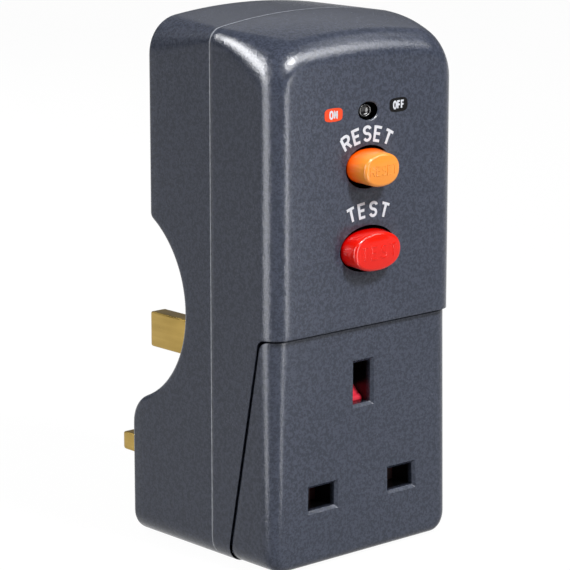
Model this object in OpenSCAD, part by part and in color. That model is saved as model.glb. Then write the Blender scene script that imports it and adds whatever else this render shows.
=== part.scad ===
/* [Case] */
// Width of the case
case_w = 50.6; // [49:0.2:58]
// Height of the case, base to crown
case_h = 111.8; // [109:0.2:123]
// Depth of the front shell, panel to parting line
front_d = 19; // [18.5:0.5:23]
// Depth of the upper rear shell, parting line to back
rear_d = 20; // [19:0.1:23]
// Step from the upper back to the plug face
plug_step = 6.5; // [6:0.1:8]
// Height of the current pins above the base
base_drop = 14.5; // [13.5:0.1:16]
// Wall of the mouldings
wall = 2.2; // [1.8:0.1:2.4]
// Wall behind the plug face
plug_wall = 3; // [2.4:0.1:3.6]
// Rounding of the front edges
edge_r = 4.4; // [3.8:0.1:5.2]
// Radius of the crowned top
crown_r = 108; // [95:1:140]
// Rounding where the crown meets the sides
crown_edge_r = 1.6; // [1:0.1:2.5]
// Rounding of the base corners
base_r = 4.5; // [3:0.1:5]
// Rounding of the lower front edge
foot_r = 1.6; // [1:0.1:2.2]
// Rounding of the rear upright edges
rear_r = 1.6; // [1:0.1:2.5]
// Fall of the top from the parting line to the panel
top_fall = 5.5; // [4:0.1:7]
// Rounding of the front top corners at the panel
top_corner_r = 10; // [8:0.1:11]
// Rounding of the rear top corners
rear_corner_r = 6.8; // [5:0.1:7.5]
// Fall of the rear top corners towards the back
rear_corner_fall = 2.6; // [1.5:0.1:3.2]

/* [Finger scoop] */
// Radius of the scoop
scoop_r = 21.5; // [20.5:0.1:22.5]
// Height of the scoop's axis above the current pins
scoop_z = 35.8; // [35:0.1:38]
// Distance of the scoop's axis behind the plug face
scoop_out = 4.1; // [3.4:0.1:5]
// Width of the tongue round the earth pin
tongue_w = 21; // [19:0.5:24]

/* [Socket cover] */
// Height of the cover's top above the current pins
cover_top = 34.5; // [33:0.1:36]
// Set-back of the cover's face from the panel
cover_recess = 1; // [0.5:0.1:1.4]
// Set-in of the cover's sides and base
cover_in = 0.4; // [0.2:0.1:0.6]
// Depth of the cover's sides at the top
side_top = 2.2; // [1.8:0.1:4]
// Depth of the cover's sides at the base
side_base = 12; // [10:0.5:13]
// Rounding at the top of the cover's sides
side_r = 2; // [1:0.1:2.5]
// Seam between the mouldings
seam = 0.45; // [0.3:0.05:0.6]
// Thickness of the lip inside the seam
lip_t = 1.2; // [1:0.1:1.4]
// Reach of the lip past the seam
lip_h = 2; // [1.5:0.1:2.5]
// Clearance of the lip
lip_gap = 0.3; // [0.2:0.05:0.4]

/* [Socket] */
// Spacing of the pins and slots
pin_pitch = 22.23; // [22:0.01:22.5]
// Width of the current slots
slot_w = 7.2; // [6.9:0.1:7.6]
// Height of the current slots
slot_h = 4.8; // [4.6:0.1:5.2]
// Width of the earth slot
earth_slot_w = 4.8; // [4.6:0.1:5.2]
// Height of the earth slot
earth_slot_h = 8.8; // [8.5:0.1:9.2]
// Chamfer of the slots
slot_c = 0.6; // [0.3:0.1:0.8]
// Length of the collars behind the current slots
collar_l = 3.5; // [3:0.1:4]
// Wall of the collars
collar_t = 1.2; // [0.8:0.1:1.4]

/* [Shutter] */
// Thickness of the shutter
shutter_t = 2; // [1.6:0.1:2.4]
// Running clearance of the shutter
shutter_gap = 0.3; // [0.2:0.05:0.4]
// Overlap of the shutter round the current slots
shutter_lap = 0.5; // [0.3:0.1:0.6]
// Width of the shutter's ramp
ramp_w = 7; // [6:0.1:7.4]
// Width of the shutter's stem
shutter_stem_w = 10; // [8:0.5:11]

/* [Pins] */
// Width of the current pins
pin_w = 6.35; // [6.2:0.05:6.5]
// Thickness of the pins
pin_t = 4; // [3.9:0.05:4.1]
// Length of the current pins
pin_l = 17.7; // [17.2:0.1:18.2]
// Width of the earth pin
earth_w = 7.95; // [7.8:0.05:8.1]
// Length of the earth pin
earth_l = 22.73; // [22.2:0.01:23.2]
// Chamfer of the pin tips
tip_c = 1.2; // [0.8:0.1:1.5]
// Length of the sleeves
sleeve_l = 9.5; // [8:0.1:10]
// Wall of the sleeves
sleeve_t = 0.5; // [0.4:0.05:0.6]
// Thickness of the pin heads
head_t = 3; // [2.5:0.1:3.5]
// Overlap of the pin heads round the pins
head_lap = 0.6; // [0.4:0.1:0.8]

/* [Reset button] */
// Height of the button above the current pins
reset_z = 67.1; // [66:0.1:68.2]
// Width of the button at the panel
reset_w = 11.4; // [10:0.1:12.5]
// Height of the button at the panel
reset_h = 7.8; // [7.2:0.1:8.6]
// Reach of the button out of the panel
reset_out = 4.8; // [4:0.1:6]
// Narrowing of the button's end, each side
reset_taper = 0.9; // [0.5:0.1:1.4]
// Travel of the button
reset_travel = 3; // [2.9:0.1:3.4]

/* [Test button] */
// Height of the button above the current pins
test_z = 50.4; // [49.4:0.1:51.4]
// Width of the button at the panel
test_w = 14.4; // [13:0.1:15.5]
// Height of the button at the panel
test_h = 8.5; // [8:0.1:9.4]
// Reach of the button out of the panel
test_out = 3.6; // [3:0.1:4.6]
// Narrowing of the button's end, each side
test_taper = 0.8; // [0.4:0.1:1.2]
// Travel of the button
test_travel = 2; // [1.6:0.1:2.2]

/* [Buttons] */
// Gap round the buttons
button_gap = 0.35; // [0.3:0.05:0.5]
// Rounding of the button ends
button_r = 1; // [0.6:0.1:1.2]
// Thickness of the button flanges
flange_t = 1.5; // [1.2:0.1:1.8]
// Width of the button flanges past the hole
flange_w = 1; // [0.8:0.1:1.2]
// Radius of the button stems
stem_r = 2; // [1.6:0.1:2.2]
// Radial wall of the springs
spring_t = 0.9; // [0.6:0.1:1]

/* [Indicator] */
// Height of the window above the current pins
window_z = 78.4; // [77.6:0.1:79]
// Width of the window
window_w = 5.9; // [5.4:0.1:6.2]
// Height of the window
window_h = 4.2; // [3.8:0.1:4.6]
// Width of the lens in the window
lens_w = 3.3; // [2.8:0.1:4]
// Height of the lens in the window
lens_h = 2.8; // [2.4:0.1:3.4]
// Depth of the lens below the panel
lens_drop = 0.9; // [0.4:0.1:1.2]
// Radius of the flag
flag_r = 6; // [5.6:0.1:6.2]
// Width of the flag
flag_w = 6; // [5.4:0.1:6.2]
// Turn of the flag
flag_turn = 50; // [45:1:50]

/* [Mechanism] */
// Travel of the contacts
contact_travel = 2.6; // [2.4:0.1:2.7]
// Thickness of the contact strips
strip_t = 1; // [0.8:0.1:1.2]
// Height of the contact tips
tip_h = 0.8; // [0.6:0.1:0.9]
// Thickness of the contact carrier
carrier_t = 3; // [2.6:0.1:3.2]
// Distance of the contact tips from the reset button's axis
tip_reach = 5; // [4.8:0.1:5.4]
// Width of the magnet's yoke
yoke_w = 16.2; // [15.4:0.2:17]
// Thickness of the mechanism's plates
plate_t = 2; // [1.6:0.1:2.2]
// Thickness of the circuit board
board_t = 1.6; // [1.2:0.1:1.8]
// Outer diameter of the sensor
sensor_d = 15; // [14:0.2:15.4]
// Height of the sensor
sensor_h = 8; // [7:0.2:8.6]

/* [Screws] */
// Radius of the case screws
screw_r = 1.25; // [1:0.05:1.3]
// Radius of the case screws' heads
screw_head_r = 2.4; // [2.2:0.1:2.5]
// Height of the case screws' heads
screw_head_h = 2; // [1.6:0.1:2.4]
// Radius of the small screws
small_screw_r = 1; // [0.8:0.05:1]
// Radius of the small screws' heads
small_head_r = 1.9; // [1.7:0.1:2]
// Height of the small screws' heads
small_head_h = 1.3; // [1:0.1:1.5]

/* [Hidden] */
$fn = 48;

// Overrun of cutters, least radius, slack of fitted flats and of fixed round fits
over = 1;
least_r = 0.4;
slack = 0.05;

// The plug face is y = 0 and the current pins are z = 0
base_z = -base_drop;
crown_z = case_h - base_drop;
half_w = case_w / 2;
back_y = -plug_step;
parting_y = back_y - rear_d;
panel_y = parting_y - front_d;
panel_in = panel_y + wall;
cover_y = panel_y + cover_recess;
cover_shell = wall + lip_gap + lip_t;
cover_in_y = panel_y + cover_shell;
ramp_a = atan(top_fall / front_d);
side_a = atan((side_base - side_top) / (cover_top - base_z));

// Places of the pins and slots
current_x = pin_pitch / 2;
earth_z = pin_pitch;

// Mechanism planes, from the neck of the scoop to the front
neck_y = scoop_out - scoop_r - wall;
conductor_gap = 1.8;
conductor_w = 3;
conductor_t = 1.2;
conductor_drop = 1.6;
contact_y = neck_y - conductor_gap;
strip_y = contact_y - strip_t;
fixed_tip_y = strip_y - tip_h;
moving_tip_y = fixed_tip_y - contact_travel - slack;
bridge_y = moving_tip_y - tip_h;
carrier_y = bridge_y - strip_t;
carrier_front = carrier_y - carrier_t;
carrier_boss = 1.6;
boss_y = carrier_front - carrier_boss;
stem_gap = reset_travel - contact_travel + slack;
reset_end = boss_y - stem_gap;
frame_clear = 1.3;
frame_back = boss_y - frame_clear;
frame_y = frame_back - plate_t;
flange_y = panel_in + flange_t;
board_gap = 5.8;
board_y = contact_y + plate_t + board_gap;
board_back = board_y + board_t;
pole_gap = contact_travel + slack;
armature_t = 1.5;
armature_y = carrier_y + armature_t;
pole_y = armature_y + pole_gap;

// Screw posts of the case
post_inset = 3.3;
post_r = 2.6;
post_step = 0.4;
post_drop = 11.6;
post_x = half_w - cover_shell - post_inset;
post_z = base_z + cover_shell + post_inset;
post_top_z = crown_z - post_drop;
screw_gap = 0.25;
head_gap = 0.3;
boss_wall = 0.6;
boss_hole_r = screw_r + screw_gap;
boss_bore_r = screw_head_r + head_gap;
boss_r = boss_bore_r + boss_wall;
head_depth = 8;
screw_bite = 8;

// Magnet, guides and poles, from the middle outwards
guide_r = 1.2;
guide_gap = 0.3;
guide_l = 2.2;
bar_w = 2.8;
bar_over = 1.2;
bar_half = bar_w / 2;
contact_r = 1.3;
yoke_half = yoke_w / 2;
yoke_leg_t = 1.5;
yoke_h = 10;
coil_core_r = 3;
coil_gap = 0.4;
bobbin_flange_r = yoke_half - yoke_leg_t - coil_gap;
bobbin_wall = 0.6;
bobbin_flange = 0.8;
pole_stand = 0.8;
guide_spring_r = guide_r + guide_gap + spring_t / 2;
guide_x = yoke_half + guide_gap + guide_spring_r;
pole_x = guide_x + guide_spring_r + guide_gap + bar_half;

// Load straps, base and frame, from the side walls inwards
strap_in = 3;
strap_gap = 0.2;
strap_x = half_w - wall - strap_in;
strap_low_z = 0;
base_half = strap_x - strap_gap;
pillar_r = 1.7;
pillar_x = base_half - pillar_r;
pillar_z = 10.1;
board_pillar_z = 4;
base_reach = pillar_z + pillar_r;
frame_side = 2.3;
frame_half = half_w - wall - frame_side;
frame_boss_r = 2.2;
frame_boss_in = 3;
frame_boss_x = frame_half - frame_boss_in;

// Sensor and the conductors through it
sensor_drop = 16.8;
sensor_z = reset_z - sensor_drop;
sensor_low = sensor_z - sensor_h / 2;
sensor_front = 4.1;
sensor_y = contact_y - sensor_front;
sensor_bore = 7.5;
sensor_skin = 0.9;
shelf_t = 1.4;
shelf_side = 1;
shelf_short = 1;
frame_under = 3.6;
frame_rise = 16;
frame_low_z = sensor_low - shelf_t - frame_under;
frame_high_z = reset_z + frame_rise;
frame_boss_z = [frame_low_z + frame_boss_in, frame_high_z - frame_boss_r];
notch_rise = 3;
bar_in = 0.8;
bar_thick = 2.2;
line_low_z = 7;
line_under = 1.6;
line_turn_z = sensor_low - shelf_t - line_under;
line_top_z = reset_z - pillar_z + pillar_r + strap_gap;
line_pin_w = 3;

// Circuit board, above the scoop's inner wall
board_clear = 0.4;
board_half = base_half;
board_low = scoop_z + sqrt(pow(scoop_r + wall, 2) - pow(scoop_out - board_back, 2)) + board_clear;
board_high = reset_z + base_reach;
board_pillars = [reset_z - board_pillar_z, reset_z + pillar_z];

// Shutter
wing_half = slot_h / 2 + shutter_lap;
shutter_y = cover_in_y + collar_l + shutter_gap;
shutter_back = shutter_y + shutter_t;
nose_y = cover_in_y + shutter_gap;
nose_z = earth_z - earth_slot_h / 2;
ramp_top = nose_z + shutter_back - nose_y;
nose_drop = 3;
stem_drop = 4;
ramp_foot = nose_z - stem_drop;
shutter_spring_r = 2;

// Socket block and contacts
block_gap = 2.5;
block_y = shutter_back + shutter_gap + block_gap;
block_side = 0.5;
block_drop = 3;
block_half = half_w - cover_shell - block_side;
block_low = base_z + cover_shell + block_side;
block_high = cover_top - block_drop;
pocket_t = 1.2;
jaw_t = 0.8;
jaw_gap = 0.1;
jaw_w = 6;
earth_jaw_w = 7.2;
jaw_clear = 0.3;
contact_flange = 0.9;
contact_back = contact_y - conductor_drop;
earth_room = 0.8;
earth_back = cover_y + earth_l + earth_room;
block_screw_drop = 6;
block_screw_z = cover_top - block_screw_drop;

// Indicator
flag_gap = 0.3;
lens_rim = 0.9;
lens_rim_t = 0.3;
foil_t = 0.15;
flag_y = panel_in + lens_rim_t + flag_gap + foil_t + flag_r;
flag_edge = 5;
flag_black = [-flag_turn / 2 - flag_edge, flag_turn / 2];
flag_orange = [flag_turn / 2, 1.5 * flag_turn + flag_edge];
flag_pin_r = 0.8;
hub_r = 1.6;
flag_fit = 0.06;
tail_l = 3.6;
tail_t = 1.4;
tail_gap = 0.2;
tail_x = flag_w / 2 + tail_gap;
lug_t = 1.6;
lug_gap = 0.8;
lug_x = tail_x + tail_t + lug_gap;
finger_gap = 0.3;

function arc(c, r, a0, a1, n = 6) =
    [for (i = [0:n]) let (a = a0 + (a1 - a0) * i / n) c + r * [cos(a), sin(a)]];

function oval(w, h, n = 48) = [for (i = [0:n - 1]) [w / 2 * cos(360 * i / n), h / 2 * sin(360 * i / n)]];

// Front view of the case: straight sides, crowned top, rounded base
function case_outline(in, side) =
    let (
        half = half_w - in - side,
        low = base_z + in + side,
        rb = max(base_r - in, least_r),
        rc = max(crown_edge_r - in, least_r),
        cz = crown_z - crown_r,
        kz = cz + sqrt(pow(crown_r - in - rc, 2) - pow(half - rc, 2)),
        ka = atan2(kz - cz, half - rc),
        crown = arc([0, cz], crown_r - in, ka, 180 - ka, 20)
    )
    concat(
        arc([half - rb, low + rb], rb, -90, 0),
        arc([half - rc, kz], rc, 0, ka),
        [for (i = [1:len(crown) - 2]) crown[i]],
        arc([rc - half, kz], rc, 180 - ka, 180),
        arc([rb - half, low + rb], rb, 180, 270)
    );

// Top view of the front shell, open at y1
function front_plan(in, recess, side, y1) =
    let (
        half = half_w - in - side,
        front = panel_y + recess + in,
        r = max(edge_r - in, least_r)
    )
    concat(
        [[half, y1], [-half, y1]],
        arc([r - half, front + r], r, 180, 270),
        arc([half - r, front + r], r, 270, 360)
    );

// Side view of the front shell: sloping top, rounded into the panel
function front_side(in, recess, side, y1) =
    let (
        front = panel_y + recess + in,
        low = base_z + in + side,
        r = max(edge_r - in, least_r),
        rf = max(foot_r - in, least_r),
        drop = in / cos(ramp_a),
        cy = front + r,
        cz = crown_z - drop - (parting_y - cy) * tan(ramp_a) - r / cos(ramp_a)
    )
    concat(
        [[y1, low], [y1, crown_z - drop + (y1 - parting_y) * tan(ramp_a)]],
        arc([cy, cz], r, 90 + ramp_a, 180),
        arc([front + rf, low + rf], rf, 180, 270)
    );

// Back edge of the socket cover's sides
function side_y(z) = cover_y + side_top + (cover_top - z) * tan(side_a);

module along_x(x0, x1) {
    translate([x0, 0, 0]) rotate([90, 0, 90]) linear_extrude(x1 - x0) children();
}

module along_y(y0, y1) {
    translate([0, y1, 0]) rotate([90, 0, 0]) linear_extrude(y1 - y0) children();
}

module along_z(z0, z1) {
    translate([0, 0, z0]) linear_extrude(z1 - z0) children();
}

module rod_y(x, z, r, y0, y1) {
    translate([x, y0, z]) rotate([-90, 0, 0]) cylinder(r = r, h = y1 - y0);
}

module tube_y(x, z, r, bore, y0, y1) {
    difference() {
        rod_y(x, z, r, y0, y1);
        rod_y(x, z, bore, y0 - over, y1 + over);
    }
}

module block(x, y, z) {
    translate([x[0], y[0], z[0]]) cube([x[1] - x[0], y[1] - y[0], z[1] - z[0]]);
}

module both_sides() {
    for (s = [0, 1]) mirror([s, 0, 0]) children();
}

// Sloping top, its side edges rounded more towards the panel
module ramp_block(in, side) {
    half = half_w - in - side;
    hull() for (end = [[parting_y + over, edge_r], [panel_y - over, top_corner_r]]) {
        r = max(end[1] - in, least_r);
        top = crown_z - in / cos(ramp_a) + (end[0] - parting_y) * tan(ramp_a);
        along_y(end[0] - slack / 2, end[0] + slack / 2) polygon(concat(
            [[-half, base_z - over], [half, base_z - over]],
            arc([half - r, top - r], r, 0, 90, 10),
            arc([r - half, top - r], r, 90, 180, 10)
        ));
    }
}

module front_form(in = 0, recess = 0, side = 0, y1 = parting_y) {
    intersection() {
        along_y(panel_y - over, y1) polygon(case_outline(in, side));
        along_z(base_z - over, crown_z + over) polygon(front_plan(in, recess, side, y1));
        along_x(-half_w - over, half_w + over) polygon(front_side(in, recess, side, y1));
        ramp_block(in, side);
    }
}

// Everything in front of the side seams and below the panel
module cover_zone(gap) {
    top = cover_top - gap;
    edge = side_y(cover_top) - gap;
    low = base_z - over;
    centre = [edge - side_r * (1 - sin(side_a)) / cos(side_a), top - side_r];
    outline = concat(
        [[panel_y - over, top], [panel_y - over, low], [side_y(low) - gap, low]],
        arc(centre, side_r, side_a, 90)
    );
    along_x(-half_w - over, half_w + over) polygon(outline);
}

// Block of the rear shell from the parting plane to y1
module rear_block(in, y0, y1, z1) {
    half = half_w - in;
    r = max(rear_r - in, least_r);
    plan = concat(
        [[-half, y0], [half, y0]],
        arc([half - r, y1 - r], r, 0, 90),
        arc([r - half, y1 - r], r, 90, 180)
    );
    intersection() {
        along_y(y0, y1) polygon(case_outline(in, 0));
        along_z(base_z - over, z1) polygon(plan);
    }
}

// Column round the earth pin, left standing in the scoop
module tongue(in) {
    r = tongue_w / 2 - in;
    along_y(neck_y - 2 * over, over) {
        translate([0, earth_z]) circle(r);
        translate([-r, base_z]) square([2 * r, earth_z - base_z]);
    }
}

// Rounding of one rear top corner, deeper towards the back
module rear_corner(in) {
    r = rear_corner_r;
    back_top = crown_z - in - (crown_r - sqrt(pow(crown_r, 2) - pow(half_w - in - r, 2)));
    fall_a = atan(rear_corner_fall / rear_d);
    translate([half_w - in - r, back_y - in, back_top - r]) rotate([-fall_a, 0, 0]) difference() {
        translate([0, -2 * rear_d, 0]) cube([2 * r, 4 * rear_d, 2 * r]);
        rod_y(0, 0, r, -3 * rear_d, 3 * rear_d);
    }
}

module rear_form(in, plug_in, y0) {
    difference() {
        union() {
            rear_block(in, y0, back_y - in, crown_z + over);
            rear_block(in, y0, -plug_in, scoop_z);
        }
        difference() {
            translate([-half_w - over, scoop_out, scoop_z]) rotate([0, 90, 0]) {
                cylinder(r = scoop_r + in, h = case_w + 2 * over, $fn = 96);
            }
            tongue(in);
        }
        both_sides() rear_corner(in);
    }
}

module front_shell() color("#4c5058") difference() {
    union() {
        difference() {
            front_form();
            front_form(in = wall, y1 = parting_y + over);
        }
        both_sides() {
            rod_y(post_x, post_top_z, post_r, panel_in - slack, parting_y);
            for (z = frame_boss_z) rod_y(frame_boss_x, z, frame_boss_r, panel_in - slack, frame_y);
        }
    }
    cover_zone(0);
    translate([0, 0, reset_z]) along_y(panel_y - over, panel_in + over) {
        polygon(oval(reset_w + 2 * button_gap, reset_h + 2 * button_gap));
    }
    translate([0, 0, test_z]) along_y(panel_y - over, panel_in + over) {
        polygon(oval(test_w + 2 * button_gap, test_h + 2 * button_gap));
    }
    translate([0, 0, window_z]) along_y(panel_y - over, panel_in + over) polygon(oval(window_w, window_h));
    both_sides() {
        rod_y(post_x, post_top_z, screw_r + slack, parting_y - front_d / 2, parting_y + over);
        for (z = frame_boss_z) {
            rod_y(frame_boss_x, z, small_screw_r + slack, panel_in + slack, frame_y + over);
        }
    }
}

module rear_shell() color("#4a4e56") difference() {
    union() {
        difference() {
            rear_form(0, 0, parting_y);
            rear_form(wall, plug_wall, parting_y - over);
        }
        both_sides() {
            rod_y(post_x, post_z, boss_r, parting_y, -plug_wall + slack);
            rod_y(post_x, post_top_z, boss_r, parting_y, back_y - wall + slack);
            for (z = board_pillars) rod_y(pillar_x, z, pillar_r, board_back, back_y - wall + slack);
        }
    }
    both_sides() {
        rod_y(post_x, post_z, boss_hole_r, parting_y - over, over);
        rod_y(post_x, post_z, boss_bore_r, -plug_wall - head_depth, over);
        rod_y(post_x, post_top_z, boss_hole_r, parting_y - over, over);
        rod_y(post_x, post_top_z, boss_bore_r, back_y - wall - head_depth, over);
        pin_hole(current_x, 0, pin_w, pin_t);
    }
    pin_hole(0, earth_z, pin_t, earth_w);
}

module pin_hole(x, z, w, h) {
    block(
        [x - w / 2 - slack, x + w / 2 + slack], [-plug_wall - over, over],
        [z - h / 2 - slack, z + h / 2 + slack]
    );
}

// Straight slot with a chamfered mouth on the cover's face
module slot_cut(x, z, w, h) {
    block([x - w / 2, x + w / 2], [panel_y - over, cover_in_y + collar_l + over], [z - h / 2, z + h / 2]);
    intersection() {
        translate([0, 0, z]) along_x(x - w, x + w) polygon(chamfer_outline(h));
        translate([x, 0, 0]) along_z(z - h, z + h) polygon([for (p = chamfer_outline(w)) [p[1], p[0]]]);
    }
}

function chamfer_outline(w) = [
    [cover_y - slot_c, -w / 2 - 2 * slot_c], [cover_y - slot_c, w / 2 + 2 * slot_c],
    [cover_y + slot_c, w / 2], [cover_y + slot_c, -w / 2]
];

module socket_cover() color("#4c5058") difference() {
    union() {
        difference() {
            union() {
                intersection() {
                    front_form(recess = cover_recess, side = cover_in);
                    cover_zone(seam);
                }
                intersection() {
                    front_form(in = wall + lip_gap);
                    cover_zone(-lip_h);
                }
            }
            front_form(in = cover_shell, y1 = parting_y + over);
        }
        both_sides() {
            block(
                [current_x - slot_w / 2 - collar_t, current_x + slot_w / 2 + collar_t],
                [cover_in_y - slack, cover_in_y + collar_l],
                [-slot_h / 2 - collar_t, slot_h / 2 + collar_t]
            );
            rod_y(post_x, post_z, post_r, cover_in_y - slack, block_y);
            rod_y(post_x, post_z, post_r - post_step, block_y - slack, parting_y);
            rod_y(post_x, block_screw_z, post_r, cover_in_y - slack, block_y);
        }
    }
    both_sides() {
        slot_cut(current_x, 0, slot_w, slot_h);
        rod_y(post_x, post_z, screw_r + slack, parting_y - screw_bite - over, parting_y + over);
        rod_y(post_x, block_screw_z, small_screw_r + slack, cover_in_y + over, block_y + over);
    }
    slot_cut(0, earth_z, earth_slot_w, earth_slot_h);
}

module indicator_lens() color([0.1, 0.1, 0.11, 0.6]) translate([0, 0, window_z]) {
    rim = 2 * lens_rim;
    along_y(panel_y + lens_drop, panel_in + slack) polygon(oval(lens_w, lens_h));
    along_y(panel_in, panel_in + lens_rim_t) polygon(oval(window_w + rim, window_h + rim));
}

// Sector of a drum about the flag's pin, between two angles up from the front
module drum(r0, r1, span, x0, x1) {
    outline = concat(
        arc([0, 0], r1, 180 - span[0], 180 - span[1], 12),
        arc([0, 0], r0, 180 - span[1], 180 - span[0], 12)
    );
    translate([0, flag_y, window_z]) along_x(x0, x1) polygon(outline);
}

module indicator_flag() color("#121214") difference() {
    union() {
        drum(hub_r - slack, flag_r, [flag_black[0], flag_orange[1]], -flag_w / 2, flag_w / 2);
        translate([-flag_w / 2, flag_y, window_z]) rotate([0, 90, 0]) {
            cylinder(r = hub_r, h = flag_w / 2 + tail_x + tail_t);
        }
        block(
            [tail_x, tail_x + tail_t], [flag_y - tail_t / 2, flag_y + tail_t / 2],
            [window_z - tail_l, window_z]
        );
    }
    translate([-flag_w, flag_y, window_z]) rotate([0, 90, 0]) {
        cylinder(r = flag_pin_r + flag_fit, h = 3 * flag_w);
    }
}

module flag_foil() color("#f26a1b") drum(flag_r, flag_r + foil_t, flag_orange, -flag_w / 2, flag_w / 2);

module flag_pin() color("silver") translate([-lug_x - lug_t, flag_y, window_z]) rotate([0, 90, 0]) {
    cylinder(r = flag_pin_r, h = 2 * (lug_x + lug_t));
}

// Oval cap that narrows towards its rounded end, with a flange behind the panel
module button_cap(w, h, out, taper) {
    tip = panel_y - out;
    hull() {
        along_y(tip + button_r, panel_y) polygon(oval(w - 2 * taper * 0.8, h - 2 * taper * 0.8, 32));
        along_y(panel_y - slack, panel_y) polygon(oval(w, h, 32));
        along_y(tip, panel_y) polygon(oval(w - 2 * taper - button_r, h - 2 * taper - button_r, 32));
    }
    along_y(panel_y - slack, panel_in + slack) polygon(oval(w, h));
    rim = 2 * (button_gap + flange_w);
    along_y(panel_in, flange_y) polygon(oval(w + rim, h + rim));
}

module reset_button() color("#ff9628") {
    translate([0, 0, reset_z]) button_cap(reset_w, reset_h, reset_out, reset_taper);
    rod_y(0, reset_z, stem_r, flange_y - slack, reset_end);
}

module reset_spring() color("silver") {
    bore = stem_r + button_gap;
    tube_y(0, reset_z, bore + spring_t, bore, flange_y, frame_y);
}

test_bridge_w = 6;
test_bridge_h = 2.4;
test_strip_t = 0.8;
test_post_r = 0.7;
test_post_h = 0.4;
test_end = frame_y - test_post_h - test_travel - test_strip_t;

module test_button() color("#e8232a") {
    translate([0, 0, test_z]) button_cap(test_w, test_h, test_out, test_taper);
    rod_y(0, test_z, stem_r, flange_y - slack, test_end);
}

module test_spring() color("silver") {
    bore = test_bridge_w / 2 + 2 * button_gap;
    tube_y(0, test_z, bore + spring_t, bore, flange_y, frame_y);
}

module test_bridge() color("#c8a24a") block(
    [-test_bridge_w / 2, test_bridge_w / 2], [test_end, test_end + test_strip_t],
    [test_z - test_bridge_h / 2, test_z + test_bridge_h / 2]
);

module test_contacts() color("#c8a24a") both_sides() {
    rod_y(test_bridge_w / 2 - test_post_r, test_z, test_post_r, frame_y - test_post_h, frame_y);
}

module mech_frame() color("#26282c") difference() {
    union() {
        block([-frame_half, frame_half], [frame_y, frame_back], [frame_low_z, frame_high_z]);
        block(
            [-sensor_d / 2 - shelf_side, sensor_d / 2 + shelf_side],
            [frame_back - slack, sensor_y + sensor_d / 2 - shelf_short],
            [sensor_low - shelf_t, sensor_low]
        );
        both_sides() block(
            [lug_x, lug_x + lug_t], [flag_y - 2 * flag_pin_r, frame_back],
            [window_z - 2 * flag_pin_r, window_z + 2 * flag_pin_r]
        );
    }
    rod_y(0, reset_z, stem_r + button_gap, frame_y - over, frame_back + over);
    block(
        [-lug_x, lug_x], [frame_y - over, frame_back + over],
        [reset_z + stem_r + notch_rise, frame_high_z + over]
    );
    translate([-case_w, flag_y, window_z]) rotate([0, 90, 0]) {
        cylinder(r = flag_pin_r + slack, h = 2 * case_w);
    }
    translate([0, sensor_y, sensor_low - 2 * shelf_t]) cylinder(d = sensor_bore, h = 4 * shelf_t);
    both_sides() for (z = frame_boss_z) {
        rod_y(frame_boss_x, z, small_screw_r + button_gap, frame_y - over, frame_back + over);
    }
}

module contact_base() color("#26282c") {
    difference() {
        block(
            [-base_half, base_half], [contact_y, contact_y + plate_t],
            [reset_z - base_reach, reset_z + base_reach]
        );
        block(
            [-yoke_half - guide_gap, yoke_half + guide_gap], [contact_y - over, contact_y + plate_t + over],
            [reset_z - bobbin_flange_r - guide_gap, reset_z + bobbin_flange_r + guide_gap]
        );
    }
    both_sides() {
        for (s = [-1, 1]) rod_y(pillar_x, reset_z + s * pillar_z, pillar_r, frame_back, contact_y + slack);
        for (z = board_pillars) rod_y(pillar_x, z, pillar_r, contact_y + plate_t - slack, board_y);
        rod_y(guide_x, reset_z, guide_r, carrier_front - guide_l, contact_y + slack);
    }
}

module contact_carrier() color("#3a3d42") difference() {
    arm_z = window_z - tail_l;
    union() {
        block(
            [-pole_x - bar_half, pole_x + bar_half], [carrier_front, carrier_y],
            [reset_z - carrier_t, reset_z + carrier_t]
        );
        rod_y(0, reset_z, carrier_t, boss_y, carrier_front + slack);
        block(
            [tail_x, tail_x + tail_t], [carrier_front, carrier_y],
            [reset_z + carrier_t - slack, arm_z + tail_t]
        );
        block(
            [tail_x, tail_x + tail_t], [flag_y + tail_t / 2 + finger_gap, carrier_front + slack],
            [arm_z, arm_z + tail_t]
        );
    }
    both_sides() rod_y(guide_x, reset_z, guide_r + guide_gap, carrier_front - over, carrier_y + over);
}

module armature() color("#8d9096") block(
    [-yoke_half, yoke_half], [carrier_y, armature_y], [reset_z - yoke_h / 2, reset_z + yoke_h / 2]
);

module bridge(x) {
    reach = tip_reach + bar_over;
    block([x - bar_half, x + bar_half], [carrier_y, bridge_y], [reset_z - reach, reset_z + reach]);
    for (s = [-1, 1]) rod_y(x, reset_z + s * tip_reach, contact_r, bridge_y - slack, moving_tip_y);
}

module live_bridge() color("#b98b45") bridge(pole_x);

module neutral_bridge() color("#b98b45") bridge(-pole_x);

module opening_springs() color("silver") both_sides() {
    tube_y(guide_x, reset_z, guide_spring_r, guide_r + guide_gap, carrier_y, contact_y);
}

module magnet_yoke() color("#7c8086") {
    rod_y(0, reset_z, coil_core_r, pole_y, board_y - yoke_leg_t + slack);
    block(
        [-yoke_half, yoke_half], [board_y - yoke_leg_t, board_y],
        [reset_z - yoke_h / 2, reset_z + yoke_h / 2]
    );
    both_sides() block(
        [yoke_half - yoke_leg_t, yoke_half], [pole_y, board_y - yoke_leg_t + slack],
        [reset_z - yoke_h / 2, reset_z + yoke_h / 2]
    );
}

module coil_bobbin() color("#d9d4c4") difference() {
    low = pole_y + pole_stand;
    high = board_y - yoke_leg_t;
    union() {
        rod_y(0, reset_z, coil_core_r + slack + bobbin_wall, low, high);
        rod_y(0, reset_z, bobbin_flange_r, low, low + bobbin_flange);
        rod_y(0, reset_z, bobbin_flange_r, high - bobbin_flange, high);
    }
    rod_y(0, reset_z, coil_core_r + slack, low - over, high + over);
}

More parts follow.
